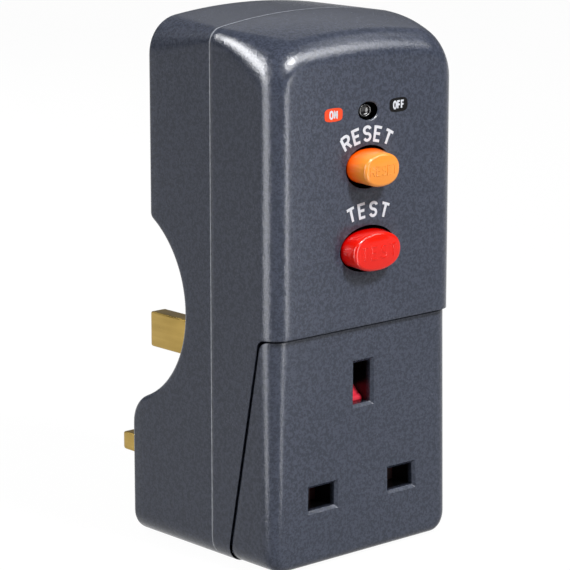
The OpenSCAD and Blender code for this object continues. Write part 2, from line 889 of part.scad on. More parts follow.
module hold_coil() color("#a8552a") tube_y(
    0, reset_z, bobbin_flange_r - bobbin_wall, coil_core_r + 2 * slack + bobbin_wall,
    pole_y + pole_stand + bobbin_flange, board_y - yoke_leg_t - bobbin_flange
);

// Conductor from the right-hand pin, up through the sensor, to the lower fixed contact
module line_bar() {
    pin_y = -plug_wall - head_t;
    flat = [sensor_y - conductor_t / 2, sensor_y + conductor_t / 2];
    run = [current_x - line_pin_w / 2, current_x + line_pin_w / 2];
    tip = [pole_x - bar_half / 2, pole_x + bar_half];
    through = [bar_in, bar_in + bar_thick];
    foot = [line_low_z, line_low_z + conductor_w];
    turn = [line_turn_z - conductor_w, line_turn_z];
    head = [line_top_z, line_top_z + conductor_t];
    block(run, [pin_y - conductor_t, pin_y], [-pin_t / 2, foot[1]]);
    block(run, [flat[0], pin_y - slack], foot);
    block(run, flat, [foot[0], turn[1]]);
    block([through[0], run[1]], flat, turn);
    block(through, [sensor_y - bar_half, sensor_y + bar_half], [turn[0], head[1]]);
    block([through[0], tip[1]], flat, head);
    block(tip, [flat[0], contact_y], head);
    block(tip, [strip_y, contact_y], [head[0], reset_z - tip_reach + contact_r]);
    rod_y(pole_x, reset_z - tip_reach, contact_r, fixed_tip_y, strip_y + slack);
}

module live_line_bar() color("#c08a4a") line_bar();

module neutral_line_bar() color("#c08a4a") mirror([1, 0, 0]) line_bar();

// Conductor from the upper fixed contact, down the side wall, to the socket contact
module load_strap() {
    side = [strap_x, strap_x + conductor_t];
    wide = [contact_y - conductor_w, contact_y];
    top = [reset_z + tip_reach - contact_r, reset_z + tip_reach + contact_r];
    inner = current_x + jaw_w / 2 + jaw_clear + contact_flange;
    block([pole_x - bar_half / 2, side[1]], [strip_y, contact_y], top);
    block(side, wide, [strap_low_z, top[1]]);
    block([inner, side[1]], [contact_back, contact_back + strip_t], [strap_low_z, strap_low_z + conductor_w]);
    rod_y(pole_x, reset_z + tip_reach, contact_r, fixed_tip_y, strip_y + slack);
}

module live_load_strap() color("#c08a4a") load_strap();

module neutral_load_strap() color("#c08a4a") mirror([1, 0, 0]) load_strap();

// Pair of jaws on a back plate, gripping a pin of thickness pin_t
module jaws(w, back) {
    in = pin_t / 2 + jaw_gap;
    out = in + jaw_t;
    flange = jaw_clear + contact_flange;
    for (s = [0, 1]) mirror([0, 0, s]) block([-w / 2, w / 2], [block_y + slack, back + slack], [in, out]);
    block([-w / 2 - flange, w / 2 + flange], [back, back + strip_t], [-out, out]);
}

module live_contact() color("#c8a24a") translate([current_x, 0, 0]) jaws(jaw_w, contact_back);

module neutral_contact() color("#c8a24a") translate([-current_x, 0, 0]) jaws(jaw_w, contact_back);

module earth_contact() color("#c8a24a") translate([0, 0, earth_z]) rotate([0, 90, 0]) {
    jaws(earth_jaw_w, earth_back);
}

module earth_strap() color("#c8a24a") block(
    [-conductor_w / 2, conductor_w / 2], [earth_back + strip_t, -plug_wall - head_t],
    [earth_z - conductor_w / 2, earth_z + conductor_w / 2]
);

// Pocket round a pair of jaws, solid or hollow
module pocket(w, back, t) {
    h = pin_t / 2 + jaw_gap + jaw_t + jaw_clear + t;
    half = w / 2 + jaw_clear + t;
    block([-half, half], [block_y - over + over * sign(t), back + over - over * sign(t)], [-h, h]);
}

module pockets(t) {
    both_sides() translate([current_x, 0, 0]) pocket(jaw_w, contact_back, t);
    translate([0, 0, earth_z]) rotate([0, 90, 0]) pocket(earth_jaw_w, earth_back, t);
}

module socket_block() color("#26282c") {
    guide = shutter_stem_w / 2 + shutter_gap;
    through = [block_y - over, contact_back + over];
    difference() {
        union() {
            block([-block_half, block_half], [block_y, block_y + plate_t], [block_low, block_high]);
            pockets(pocket_t);
        }
        pockets(0);
        both_sides() {
            rod_y(post_x, post_z, post_r - post_step + slack, through[0], through[1]);
            rod_y(post_x, block_screw_z, small_screw_r + button_gap, through[0], through[1]);
        }
    }
    rail = [wing_half + over, ramp_foot - over];
    both_sides() block([guide, guide + pocket_t], [shutter_y, block_y + slack], rail);
    block([-shutter_stem_w / 4, shutter_stem_w / 4], [shutter_back + shutter_gap, block_y + slack], rail);
}

module shutter() color("#d8313a") {
    wing = current_x + slot_w / 2 + shutter_lap;
    outline = concat(
        [[shutter_back, ramp_foot], [shutter_back, ramp_top], [nose_y + over, nose_z + over]],
        arc([nose_y + over, nose_z], over, 90, 180),
        [[nose_y, nose_z - nose_drop], [shutter_y, ramp_foot]]
    );
    block([-wing, wing], [shutter_y, shutter_back], [-wing_half, wing_half]);
    block(
        [-shutter_stem_w / 2, shutter_stem_w / 2], [shutter_y, shutter_back],
        [-wing_half, ramp_foot + slack]
    );
    intersection() {
        along_x(-ramp_w / 2, ramp_w / 2) polygon(outline);
        along_y(nose_y - over, shutter_back + over) {
            translate([0, ramp_top - ramp_w / 2]) circle(d = ramp_w);
            translate([-ramp_w / 2, ramp_foot]) square([ramp_w, ramp_top - ramp_w / 2 - ramp_foot]);
        }
    }
}

module shutter_spring() color("silver") {
    low = base_z + cover_shell;
    translate([0, (shutter_y + shutter_back) / 2, low]) difference() {
        cylinder(r = shutter_spring_r, h = -wing_half - low);
        translate([0, 0, -over]) cylinder(r = shutter_spring_r - spring_t, h = case_h);
    }
}

// Blade with a chamfered tip, w across X and h across Z
module blade(w, h, y0, y1) {
    intersection() {
        along_x(-w, w) polygon(blade_outline(h, y0, y1));
        along_z(-h, h) polygon([for (p = blade_outline(w, y0, y1)) [p[1], p[0]]]);
    }
}

function blade_outline(w, y0, y1) = [
    [y0, -w / 2], [y1 - tip_c, -w / 2], [y1, tip_c - w / 2],
    [y1, w / 2 - tip_c], [y1 - tip_c, w / 2], [y0, w / 2]
];

module pin_head(w, h) {
    block(
        [-w / 2 - head_lap, w / 2 + head_lap], [-plug_wall - head_t, -plug_wall],
        [-h / 2 - head_lap, h / 2 + head_lap]
    );
}

module earth_pin() color("#b8964e") translate([0, 0, earth_z]) {
    blade(pin_t, earth_w, -plug_wall - slack, earth_l);
    pin_head(pin_t, earth_w);
}

module current_pin(x) {
    core_w = pin_w - 2 * sleeve_t;
    core_t = pin_t - 2 * sleeve_t;
    translate([x, 0, 0]) {
        blade(pin_w, pin_t, sleeve_l, pin_l);
        block(
            [-core_w / 2, core_w / 2], [-plug_wall - slack, sleeve_l + slack],
            [-core_t / 2, core_t / 2]
        );
        pin_head(pin_w, pin_t);
    }
}

module live_pin() color("#b8964e") current_pin(current_x);

module neutral_pin() color("#b8964e") current_pin(-current_x);

module sleeve(x) {
    core_w = pin_w - 2 * sleeve_t;
    core_t = pin_t - 2 * sleeve_t;
    translate([x, 0, 0]) difference() {
        block([-pin_w / 2, pin_w / 2], [-plug_wall, sleeve_l], [-pin_t / 2, pin_t / 2]);
        block([-core_w / 2, core_w / 2], [-plug_wall - over, sleeve_l + over], [-core_t / 2, core_t / 2]);
    }
}

module live_sleeve() color("#1c1d20") sleeve(current_x);

module neutral_sleeve() color("#1c1d20") sleeve(-current_x);

module ring_section(grow) {
    r0 = sensor_bore / 2 + sensor_skin - grow;
    r1 = sensor_d / 2 - sensor_skin + grow;
    h = sensor_h / 2 - sensor_skin + grow;
    translate([r0, -h]) square([r1 - r0, 2 * h]);
}

module sensor_core() color("#5a5d63") translate([0, sensor_y, sensor_z]) rotate_extrude() ring_section(0);

module sensor_winding() color("#a8552a") translate([0, sensor_y, sensor_z]) rotate_extrude() difference() {
    ring_section(sensor_skin);
    ring_section(slack);
}

module circuit_board() color("#2f6b3c") block(
    [-board_half, board_half], [board_y, board_back], [board_low, board_high]
);

chip = [6, 1.6, 3.6];
part_gap = 0.4;
varistor_r = 3.4;
varistor_t = 3.6;
part_x = yoke_half + part_gap + varistor_r;

module control_chip() color("#1b1c1e") block(
    [-chip[0] / 2, chip[0] / 2], [board_y - chip[1], board_y],
    [reset_z + bobbin_flange_r + part_gap, reset_z + bobbin_flange_r + part_gap + chip[2]]
);

thyristor = [4.6, 4, 3.6];

module trip_thyristor() color("#1b1c1e") block(
    [part_x - thyristor[0] / 2, part_x + thyristor[0] / 2], [board_y - thyristor[1], board_y],
    [line_top_z, line_top_z + thyristor[2]]
);

module varistor() color("#2d5fa8") rod_y(
    -part_x, reset_z + varistor_r, varistor_r, board_y - varistor_t, board_y
);

capacitor = [6, 5, 8];

module filter_capacitor() color("#b8862b") block(
    [part_x - capacitor[0] / 2, part_x + capacitor[0] / 2], [board_y - capacitor[1], board_y],
    [reset_z - over, reset_z - over + capacitor[2]]
);

resistor_r = 1.1;
resistor_l = 6;
resistor_lead = 0.6;

module test_resistor() color("#d2b48c") {
    y = board_y - resistor_r - resistor_lead;
    z = line_top_z + 2 * resistor_r;
    translate([-part_x - resistor_l / 2, y, z]) rotate([0, 90, 0]) cylinder(r = resistor_r, h = resistor_l);
    for (s = [-1, 1]) {
        x = -part_x + s * (resistor_l - resistor_lead) / 2;
        block(
            [x - resistor_lead / 2, x + resistor_lead / 2], [y, board_y],
            [z - resistor_lead / 2, z + resistor_lead / 2]
        );
    }
}

// Screw along Y with its head at y0 to y0 + head_h and a crossed recess
module screw(x, z, y0, tip, r, head_r, head_h) {
    recess_w = head_r / 4;
    recess_l = 0.7 * head_r;
    difference() {
        union() {
            rod_y(x, z, head_r, y0, y0 + head_h);
            rod_y(x, z, r, tip, y0 + slack);
        }
        for (a = [0, 90]) translate([x, y0 + head_h, z]) rotate([0, a, 0]) {
            cube([2 * recess_l, head_h, 2 * recess_w], center = true);
        }
    }
}

module case_screws() color("#55585e") both_sides() {
    screw(
        post_x, post_z, -plug_wall - head_depth, parting_y - screw_bite,
        screw_r, screw_head_r, screw_head_h
    );
    screw(
        post_x, post_top_z, back_y - wall - head_depth, parting_y - screw_bite,
        screw_r, screw_head_r, screw_head_h
    );
}

module frame_screws() color("#8d9096") both_sides() for (z = frame_boss_z) {
    screw(frame_boss_x, z, frame_back, panel_in + over, small_screw_r, small_head_r, small_head_h);
}

module block_screws() color("#8d9096") both_sides() {
    screw(
        post_x, block_screw_z, block_y + plate_t, cover_in_y + 2 * over,
        small_screw_r, small_head_r, small_head_h
    );
}

label_w = 30;
label_h = 22;
label_t = 0.2;

module rear_label() color("#c9ccd0") block(
    [-label_w / 2, label_w / 2], [back_y, back_y + label_t],
    [window_z - label_h, window_z]
);

front_shell();
rear_shell();
socket_cover();
indicator_lens();
indicator_flag();
flag_foil();
flag_pin();
reset_button();
reset_spring();
test_button();
test_spring();
test_bridge();
test_contacts();
mech_frame();
contact_base();
contact_carrier();
armature();
live_bridge();
neutral_bridge();
opening_springs();
magnet_yoke();
coil_bobbin();
hold_coil();
live_line_bar();
neutral_line_bar();
live_load_strap();
neutral_load_strap();
live_contact();
neutral_contact();
earth_contact();
earth_strap();
socket_block();
shutter();
shutter_spring();
earth_pin();
live_pin();
neutral_pin();
live_sleeve();
neutral_sleeve();
sensor_core();
sensor_winding();
circuit_board();
control_chip();
trip_thyristor();
varistor();
filter_capacitor();
test_resistor();
case_screws();
frame_screws();
block_screws();
rear_label();
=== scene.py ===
import bmesh
import bpy
import numpy as np
from mathutils import Euler, Matrix, Vector


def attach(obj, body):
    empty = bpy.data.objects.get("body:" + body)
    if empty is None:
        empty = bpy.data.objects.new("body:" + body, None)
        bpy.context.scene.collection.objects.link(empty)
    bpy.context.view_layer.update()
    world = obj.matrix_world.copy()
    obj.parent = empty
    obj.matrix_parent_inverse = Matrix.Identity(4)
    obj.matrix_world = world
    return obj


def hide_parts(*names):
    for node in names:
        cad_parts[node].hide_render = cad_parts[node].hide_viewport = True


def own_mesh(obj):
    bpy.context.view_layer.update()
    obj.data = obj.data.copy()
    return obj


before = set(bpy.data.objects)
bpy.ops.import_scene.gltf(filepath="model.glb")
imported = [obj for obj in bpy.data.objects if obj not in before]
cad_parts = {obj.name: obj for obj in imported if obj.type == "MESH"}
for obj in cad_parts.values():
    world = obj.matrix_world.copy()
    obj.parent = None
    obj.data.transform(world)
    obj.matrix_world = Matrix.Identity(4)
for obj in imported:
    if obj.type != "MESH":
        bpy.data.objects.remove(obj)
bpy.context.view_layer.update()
mm = 0.001  # sizes below are millimetres in the frame of the CAD model
weld = {"cell": 0.002, "shift": 0.123}  # points in one cell become one; the shift keeps zero off its edge
bevelAngle = np.radians(48)  # edges sharper than this are broken
print("frame:", len(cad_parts), "nodes")


# sheets of points that weld where they meet

class Sheet:
    def __init__(self):
        self.points = []
        self.faces = []
        self.count = 0

    # quads between neighbouring rows and columns of points; loop joins the last column to the first,
    # and the cells inside each hole (first row, last row, first column, last column) stay open
    def grid(self, rows, loop=False, holes=()):
        high, wide = rows.shape[:2]
        index = np.arange(high * wide).reshape(high, wide)
        if loop:
            index = np.concatenate([index, index[:, :1]], axis=1)
        quads = np.stack([index[:-1, :-1], index[:-1, 1:], index[1:, 1:], index[1:, :-1]], axis=-1)
        keep = np.ones(quads.shape[:2], bool)
        for top, bottom, first, last in holes:
            keep[top:bottom, first:last] = False
        self.points.append(rows.reshape(-1, 3))
        self.faces.append(quads[keep] + self.count)
        self.count += high * wide
        return self

    # points that round to the same place become one vertex, corners that fall together are dropped
    def mesh(self, name):
        points = np.concatenate(self.points)
        quads = np.concatenate(self.faces)
        key = np.round(points / weld["cell"] + weld["shift"]).astype(np.int64)
        first, inverse = np.unique(key, axis=0, return_index=True, return_inverse=True)[1:]
        quads = inverse.reshape(-1)[quads]
        keep = quads != np.roll(quads, -1, axis=1)
        keep &= (keep.sum(axis=1) > 2)[:, None]
        total = keep.sum(axis=1)
        total = total[total > 0]
        mesh = bpy.data.meshes.new(name)
        mesh.vertices.add(len(first))
        mesh.vertices.foreach_set("co", (points[first] * mm).ravel())
        mesh.loops.add(int(total.sum()))
        mesh.loops.foreach_set("vertex_index", quads[keep].astype(np.int32))
        mesh.polygons.add(len(total))
        mesh.polygons.foreach_set("loop_start", (np.cumsum(total) - total).astype(np.int32))
        mesh.update(calc_edges=True)
        mesh.validate()
        work = bmesh.new()
        work.from_mesh(mesh)
        bmesh.ops.recalc_face_normals(work, faces=work.faces)
        work.to_mesh(mesh)
        work.free()
        return mesh


# sets several attributes of one thing
def setAll(thing, **values):
    for key, value in values.items():
        setattr(thing, key, value)


# a new object, linked to the scene
def newObject(name, data):
    made = bpy.data.objects.new(name, data)
    bpy.context.scene.collection.objects.link(made)
    return made


# a finished piece: the sheet, its wall, its broken edges, then smooth shading between sharp edges; it takes
# its slot's finish where no other is given
def makePiece(name, sheet, body, slot, finish=None, wall=0.0, side=-1, edge=0.0, stands=(), sharp=35):
    piece = newObject(name, sheet.mesh(name))
    if wall:
        solid = piece.modifiers.new("wall", "SOLIDIFY")
        setAll(solid, thickness=wall * mm, offset=side, use_even_offset=True, thickness_clamp=1)
    if edge:
        bevel = piece.modifiers.new("edge", "BEVEL")
        setAll(bevel, width=edge * mm, segments=2, limit_method="ANGLE", angle_limit=bevelAngle)
    if wall or edge:
        graph = bpy.context.evaluated_depsgraph_get()
        done = bpy.data.meshes.new_from_object(piece.evaluated_get(graph))
        piece.modifiers.clear()
        piece.data = done
        done.name = name
    piece.data.shade_smooth()
    piece.data.set_sharp_from_angle(angle=np.radians(sharp))
    piece.data.materials.clear()
    piece.data.materials.append(finish or finishes[slot])
    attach(piece, body)
    if stands:
        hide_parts(*stands)
    return piece


# points from coordinates of any shapes that fit together
def pointGrid(x, y, z):
    return np.stack(np.broadcast_arrays(x, y, z), axis=-1)


# points of the unit circle at each angle
def circle(angle):
    return np.stack([np.cos(angle), np.sin(angle)], axis=-1)


# flat rows between the right half of a rim and its mirror image, ending on the rim's middle stretch
def capRows(rim, count, across):
    mix = ((1 - across) / 2)[:, None]
    rows = rim[:count][:, None] * (1 - mix) + rim[::-1][:count][:, None] * mix
    rows[-1] = rim[count - 1:len(rim) - count + 1]
    return rows


# first and last row and column of the cells within reach of a hole's centre
def holeBlock(rows, centre, reach):
    z = rows[:, rows.shape[1] // 2, 2]
    i = np.flatnonzero(np.abs(z - centre[1]) <= reach[1])
    x = rows[i[len(i) // 2], :, 0]
    j = np.flatnonzero(np.abs(x - centre[0]) <= reach[0])
    return i[0], i[-1], j[0], j[-1]


# rings from a block's rim to a hole: the rim is scaled to a unit square, then to each ring's half sizes,
# either as a rectangle or, by its angle, as an oval
def holeRings(rows, block, centre, rings):
    top, bottom, first, last = block
    rim = np.concatenate([
        rows[top, first:last], rows[top:bottom, last],
        rows[bottom, last:first:-1], rows[bottom:top:-1, first],
    ])
    offset = rim[:, [0, 2]] - centre
    square = offset / np.where(offset > 0, offset.max(axis=0), -offset.min(axis=0))
    angle = np.arctan2(square[:, 1], square[:, 0])
    unit = {"square": square, "oval": circle(angle)}
    out = [rim]
    for shape, halfX, halfZ, y in rings:
        flat = unit[shape] * (halfX, halfZ) + centre
        out.append(pointGrid(flat[:, 0], y, flat[:, 1]))
    return np.stack(out)


# a flat grid with holes (centre, reach, rings): each hole's block stays open and is filled with its rings
def piercedGrid(sheet, rows, holes):
    blocks = [holeBlock(rows, centre, reach) for centre, reach, rings in holes]
    for block, (centre, reach, rings) in zip(blocks, holes):
        sheet.grid(holeRings(rows, block, centre, rings), loop=True)
    sheet.grid(rows, holes=blocks)


# shader values that take part in Python arithmetic

class Value:
    def __init__(self, finish, socket):
        self.finish = finish
        self.socket = socket

    # one maths node of two values
    def sum(self, operation, a, b):
        return self.finish.add("ShaderNodeMath", {"operation": operation}, {0: a, 1: b})

    def __add__(self, other):
        return self.sum("ADD", self, other)

    def __radd__(self, other):
        return self.sum("ADD", other, self)

    def __sub__(self, other):
        return self.sum("SUBTRACT", self, other)

    def __rsub__(self, other):
        return self.sum("SUBTRACT", other, self)

    def __mul__(self, other):
        return self.sum("MULTIPLY", self, other)

    def __rmul__(self, other):
        return self.sum("MULTIPLY", other, self)


class Finish:
    def __init__(self, name, fixed):
        self.material = bpy.data.materials.new(name)
        self.material.use_nodes = True
        self.tree = self.material.node_tree
        self.shader = self.tree.nodes["Principled BSDF"]
        self.feed(self.shader, fixed)
        self.place = self.add("ShaderNodeTexCoord", out="Object")

    # a node of any kind: its settings first, then the values or links of its sockets
    def add(self, kind, settings=None, sockets=None, out=0):
        node = self.tree.nodes.new(kind)
        setAll(node, **(settings or {}))
        self.feed(node, sockets or {})
        return Value(self, node.outputs[out])

    # links or fixed values of a node's sockets
    def feed(self, node, sockets):
        for key, value in sockets.items():
            if isinstance(value, Value):
                self.tree.links.new(value.socket, node.inputs[key])
            else:
                node.inputs[key].default_value = value

    # one coordinate of the place on the piece
    def axis(self, key):
        return self.add("ShaderNodeSeparateXYZ", None, {"Vector": self.place}, key)

    # noise of so many cells to the metre, stretched along the axes
    def noise(self, scale, detail=2.0, rough=0.5, stretch=(1, 1, 1)):
        at = self.add("ShaderNodeMapping", None, {"Vector": self.place, "Scale": stretch})
        return self.add(
            "ShaderNodeTexNoise", None,
            {"Vector": at, "Scale": scale, "Detail": detail, "Roughness": rough},
        )

    # mix of two colours, each a link or three screen levels
    def blend(self, amount, dark, light):
        settings = {"data_type": "RGBA", "clamp_factor": True}
        dark, light = (linear(*c) if isinstance(c, tuple) else c for c in (dark, light))
        return self.add("ShaderNodeMix", settings, {0: amount, 6: dark, 7: light}, 2)

    # the finished material: its colour, its roughness and a bump from a height over a depth in millimetres
    def close(self, colour, rough, height, depth, strength):
        sockets = {"Height": height, "Distance": depth * mm, "Strength": strength}
        bump = self.add("ShaderNodeBump", None, sockets)
        self.feed(self.shader, {"Base Color": colour, "Roughness": rough, "Normal": bump})
        return self.material


# screen levels to linear light: a straight toe, then the power 2.4 of the shifted level
def linear(red, green, blue):
    c = np.array([red, green, blue]) / 255
    c = np.where(c <= 0.04045, c / 12.92, ((c + 0.055) / 1.055) ** 2.4)
    return (*c.tolist(), 1.0)


moulded = {
    "detail": 3.0, "rough": 0.62, "coarse": 0.45, "drift": 45.0, "coarseTone": 0.6, "driftTone": 0.35,
    "fineGloss": 0.25, "driftGloss": 0.1, "coarseRise": 0.8, "highlightMix": 0.8, "highlightMixLeast": 0.3,
}


# spark-eroded moulding: fine and coarse grain in tone and height over a slow drift of colour and gloss; a
# painted highlight, broken by the coarse grain, pales an edge along the parting line, and painted shade
# darkens the slots' block with the depth behind the face
def mouldedFinish(
    name, dark, light, rough, specular=0.5, grain=1500.0, fleck=1.2, depth=0.04, relief=0.3,
    partingHighlight=None, slots=None,
):
    made = Finish(name, {"Specular IOR Level": specular})
    fine = made.noise(grain, moulded["detail"], moulded["rough"])
    coarse = made.noise(grain * moulded["coarse"])
    drift = made.noise(moulded["drift"])
    pale = (fine - 0.5) * fleck + (coarse - 0.5) * fleck * moulded["coarseTone"]
    colour = made.blend(pale + (drift - 0.5) * moulded["driftTone"] + 0.5, dark, light)
    # painted highlight: a pale line on the rear moulding's edge at the parting line, broken by the coarse
    # grain
    if partingHighlight:
        away = made.axis("Y") - partingHighlight["y"] * mm
        near = away.sum("LESS_THAN", away * away, (partingHighlight["half"] * mm) ** 2)
        highlightMix = near * (coarse * moulded["highlightMix"] + moulded["highlightMixLeast"])
        colour = made.blend(highlightMix, colour, partingHighlight["colour"])
    # painted shade: the slot throats darken with the depth behind the cover's face
    if slots:
        x, y, z = (made.axis(k) for k in "XYZ")
        inside = x.sum("LESS_THAN", x * x, (slots["half"] * mm) ** 2)
        inside = inside * z.sum("LESS_THAN", z, slots["top"] * mm)
        inside = inside * z.sum("GREATER_THAN", z, slots["foot"] * mm)
        sunk = (y - slots["throat"] * mm) * (1 / (slots["sink"] * mm)) * inside
        colour = made.blend(sunk, colour, slots["paintedShade"])
    rough = (fine - 0.5) * moulded["fineGloss"] + (drift - 0.5) * moulded["driftGloss"] + rough
    return made.close(colour, rough, fine + coarse * moulded["coarseRise"], depth, relief)


gloss = {
    "coatRough": 0.05, "drift": 160.0, "dust": 2600.0, "dustRough": 0.6, "driftTone": 0.7, "dustTone": 0.3,
    "skirtDrift": 0.2, "dustGloss": 0.08, "driftGloss": 0.06, "dustRise": 0.05, "depth": 0.05, "relief": 0.25,
}


# glossy moulding: a faint slow waviness and fine dust in the gloss; on a cap's side, a painted shade tone
# passes into the face's colour from the panel to the given distance in front of it, and painted shade darkens
# it behind the panel; a ramp has full colour between its middle heights and left of its middle, and shade
# beyond them
def glossFinish(name, dark, light, rough, specular, coat=0.0, skirt=None, ramp=None):
    made = Finish(name, {
        "Coat Roughness": gloss["coatRough"], "Coat Weight": coat, "Specular IOR Level": specular,
    })
    drift = made.noise(gloss["drift"])
    dust = made.noise(gloss["dust"], rough=gloss["dustRough"])
    colour = made.blend(drift * gloss["driftTone"] + dust * gloss["dustTone"], dark, light)
    # painted shade: the cap's side deepens in colour towards the panel and turns near black behind it
    if skirt:
        y = made.axis("Y")
        out = (skirt["panel"] * mm - y) * (1 / (skirt["out"] * mm)) + (drift - 0.5) * gloss["skirtDrift"]
        colour = made.blend(out, skirt["shadedTone"], colour)
        sunk = (y - skirt["panel"] * mm) * (1 / (skirt["sink"] * mm))
        colour = made.blend(sunk, colour, skirt["paintedShade"])
    if ramp:
        x, z = (made.axis(k) for k in "XZ")
        z0, z1, z2, z3 = (h * mm for h in ramp["z"])
        x0, x1 = (w * mm for w in ramp["x"])
        lit = z.sum("MINIMUM", (z - z0) * (1 / (z1 - z0)), (z3 - z) * (1 / (z3 - z2)))
        lit = lit.sum("MINIMUM", lit, (x1 - x) * (1 / (x1 - x0)))
        colour = made.blend(lit, ramp["shade"], colour)
    rough = (dust - 0.5) * gloss["dustGloss"] + (drift - 0.5) * gloss["driftGloss"] + rough
    return made.close(colour, rough, drift + dust * gloss["dustRise"], gloss["depth"], gloss["relief"])


metal = {
    "detail": 3.0, "streak": 900.0, "streakRough": 0.6, "cloud": 180.0, "cloudRough": 0.55,
    "streakGloss": 0.2, "cloudGloss": 0.15, "depth": 0.02, "relief": 0.4,
}


# drawn metal: streaks along one direction in tone, gloss and height, and clouds in tone and gloss
def metalFinish(name, dark, light, rough, stretch=(1, 0.06, 1)):
    made = Finish(name, {"Metallic": 1.0})
    streak = made.noise(metal["streak"], metal["detail"], metal["streakRough"], stretch)
    cloud = made.noise(metal["cloud"], metal["detail"], metal["cloudRough"])
    colour = made.blend(streak * 0.5 + cloud * 0.5, dark, light)
    rough = (streak - 0.5) * metal["streakGloss"] + (cloud - 0.5) * metal["cloudGloss"] + rough
    return made.close(colour, rough, streak, metal["depth"], metal["relief"])


caseGrey = {
    "dark": (48, 53, 65), "light": (62, 67, 81), "rough": 0.22, "specular": 0.24,
    "grain": 2300.0, "fleck": 6.5, "depth": 0.05, "relief": 1.0,
    # painted highlight along the parting line's edge
    "partingHighlight": {"colour": (168, 172, 180), "y": -26.28, "half": 0.17},
}
# painted shade in the slot throats of the socket cover
slotShade = {"paintedShade": (4, 4, 5), "throat": -43.9, "sink": 1.4, "half": 17.0, "foot": -4.0, "top": 29.0}
# painted shade on the caps' sides near the panel and behind it
resetCapShade = {"shadedTone": (252, 84, 4), "paintedShade": (10, 4, 2), "panel": -45.5, "out": 3.2, "sink": 0.5}
testCapShade = {"shadedTone": (190, 2, 2), "paintedShade": (10, 1, 1), "panel": -45.5, "out": 2.6, "sink": 0.5}
shutterRamp = {"shade": (40, 3, 6), "z": (13.0, 17.0, 20.2, 20.9), "x": (5.4, 6.4)}
ink = {"grain": 2400.0, "depth": 0.01, "relief": 0.2}  # even and nearly flat
finishes = {
    "case_grey": mouldedFinish("mouldedGrey", **caseGrey),
    "orange_gloss": glossFinish("resetOrange", (228, 138, 48), (238, 150, 60), 0.1, 0.14, 0.2, resetCapShade),
    "red_gloss": glossFinish("testRed", (216, 22, 8), (226, 30, 12), 0.1, 0.12, 0.2, testCapShade),
    "lens": glossFinish("lensSmoke", (8, 8, 9), (16, 16, 18), 0.06, 0.5, 0.25),
    "flag_black": glossFinish("flagBlack", (10, 10, 11), (22, 22, 24), 0.3, 0.4),
    "foil_orange": glossFinish("flagFoil", (236, 92, 20), (248, 120, 36), 0.3, 0.4),
    "shutter_red": glossFinish("shutterRed", (196, 26, 48), (214, 40, 64), 0.6, 0.15, ramp=shutterRamp),
    "brass": metalFinish("pinBrass", (140, 114, 54), (188, 160, 92), 0.32),
    "sleeve_black": mouldedFinish("sleeveBlack", (18, 18, 20), (38, 38, 42), 0.5, grain=2600.0, depth=0.03),
    "spring_steel": metalFinish("springSteel", (150, 152, 156), (206, 208, 212), 0.28, (1, 1, 0.1)),
    "frame_black": mouldedFinish(
        "frameBlack", (22, 23, 26), (46, 48, 52), 0.5, grain=1800.0, fleck=1.3, depth=0.05,
    ),
    "core_steel": metalFinish("coreSteel", (98, 100, 106), (150, 152, 158), 0.42, (0.1, 1, 1)),
    "copper_wire": metalFinish("copperWire", (138, 60, 26), (206, 110, 60), 0.34, (1, 0.05, 1)),
    "bobbin_white": mouldedFinish(
        "bobbinWhite", (206, 200, 184), (232, 228, 214), 0.5, grain=1800.0, fleck=1.0, depth=0.03,
    ),
    "board_green": mouldedFinish(
        "boardGreen", (26, 78, 46), (48, 112, 66), 0.4, grain=1200.0, fleck=1.4, depth=0.03, relief=0.25,
    ),
    "chip_black": mouldedFinish("chipBlack", (16, 16, 18), (40, 40, 44), 0.6, 0.4, 3000.0, 1.5, 0.03, 0.4),
    "varistor_blue": mouldedFinish("varistorBlue", (32, 78, 150), (58, 108, 184), 0.35),
    "capacitor_ochre": mouldedFinish("capacitorOchre", (160, 112, 30), (200, 150, 56), 0.35),
    "resistor_tan": mouldedFinish("resistorTan", (190, 156, 112), (222, 192, 150), 0.4),
    "screw_steel": metalFinish("screwSteel", (70, 72, 78), (128, 130, 136), 0.36, (1, 0.2, 1)),
    "label_grey": mouldedFinish(
        "labelGrey", (178, 182, 188), (206, 210, 215), 0.45, grain=900.0, fleck=0.9, depth=0.02, relief=0.2,
    ),
}
legendWhite = mouldedFinish("legendWhite", (186, 189, 196), (212, 215, 221), 0.55, 0.3, **ink)
coverGrey = mouldedFinish("coverGrey", slots=slotShade, **caseGrey)
pillOrange = mouldedFinish("pillOrange", (218, 64, 28), (232, 78, 38), 0.65, 0.08, **ink)
pillBlack = mouldedFinish("pillBlack", (5, 5, 6), (14, 14, 15), 0.65, 0.06, **ink)
print("finishes:", len(finishes))


# the case: shared lines of the two mouldings

case = {
    "halfWide": 25.3, "baseZ": -14.5, "crownZ": 97.2, "crownRadius": 136.0,
    "partingY": -26.5, "panelY": -45.5, "backY": -6.5, "frontFall": 0.07, "frontSag": 0.0068,
    "partingGap": 0.06, "partingCorner": 3.2, "frontCorner": 12.0, "rearCorner": 8.0, "cornerShrink": 1.9,
    "cornerPower": 1.7, "leastCorner": 0.5, "frontRound": 4.4, "topRound": 4.3, "rearRound": 1.2,
    "baseCorner": 4.7, "riseSteps": 9, "cornerSteps": 11, "wall": 1.9, "brokenEdge": 0.32,
    "slopeStep": 0.05, "slopeTries": 5,
}
half = case["halfWide"]
partingY = case["partingY"]
panelY = case["panelY"]
backY = case["backY"]


# height of the crown: an arc across X, lowered by the distance in front of the parting line and its square
def crownAt(x, y):
    arc = case["crownZ"] - case["crownRadius"] + np.sqrt(case["crownRadius"] ** 2 - x ** 2)
    ahead = np.maximum(partingY - y, 0)
    return arc - case["frontFall"] * ahead - case["frontSag"] * ahead ** 2


# the right side of an outline, its middle and the side's mirror image, with the number of the side's columns
def mirrorRows(sideX, sideZ, middleX, middleZ, y):
    x = np.concatenate([sideX, middleX, -sideX[:, ::-1]], axis=1)
    z = np.concatenate([sideZ, middleZ, sideZ[:, ::-1]], axis=1)
    return pointGrid(x, y, z), sideX.shape[1]


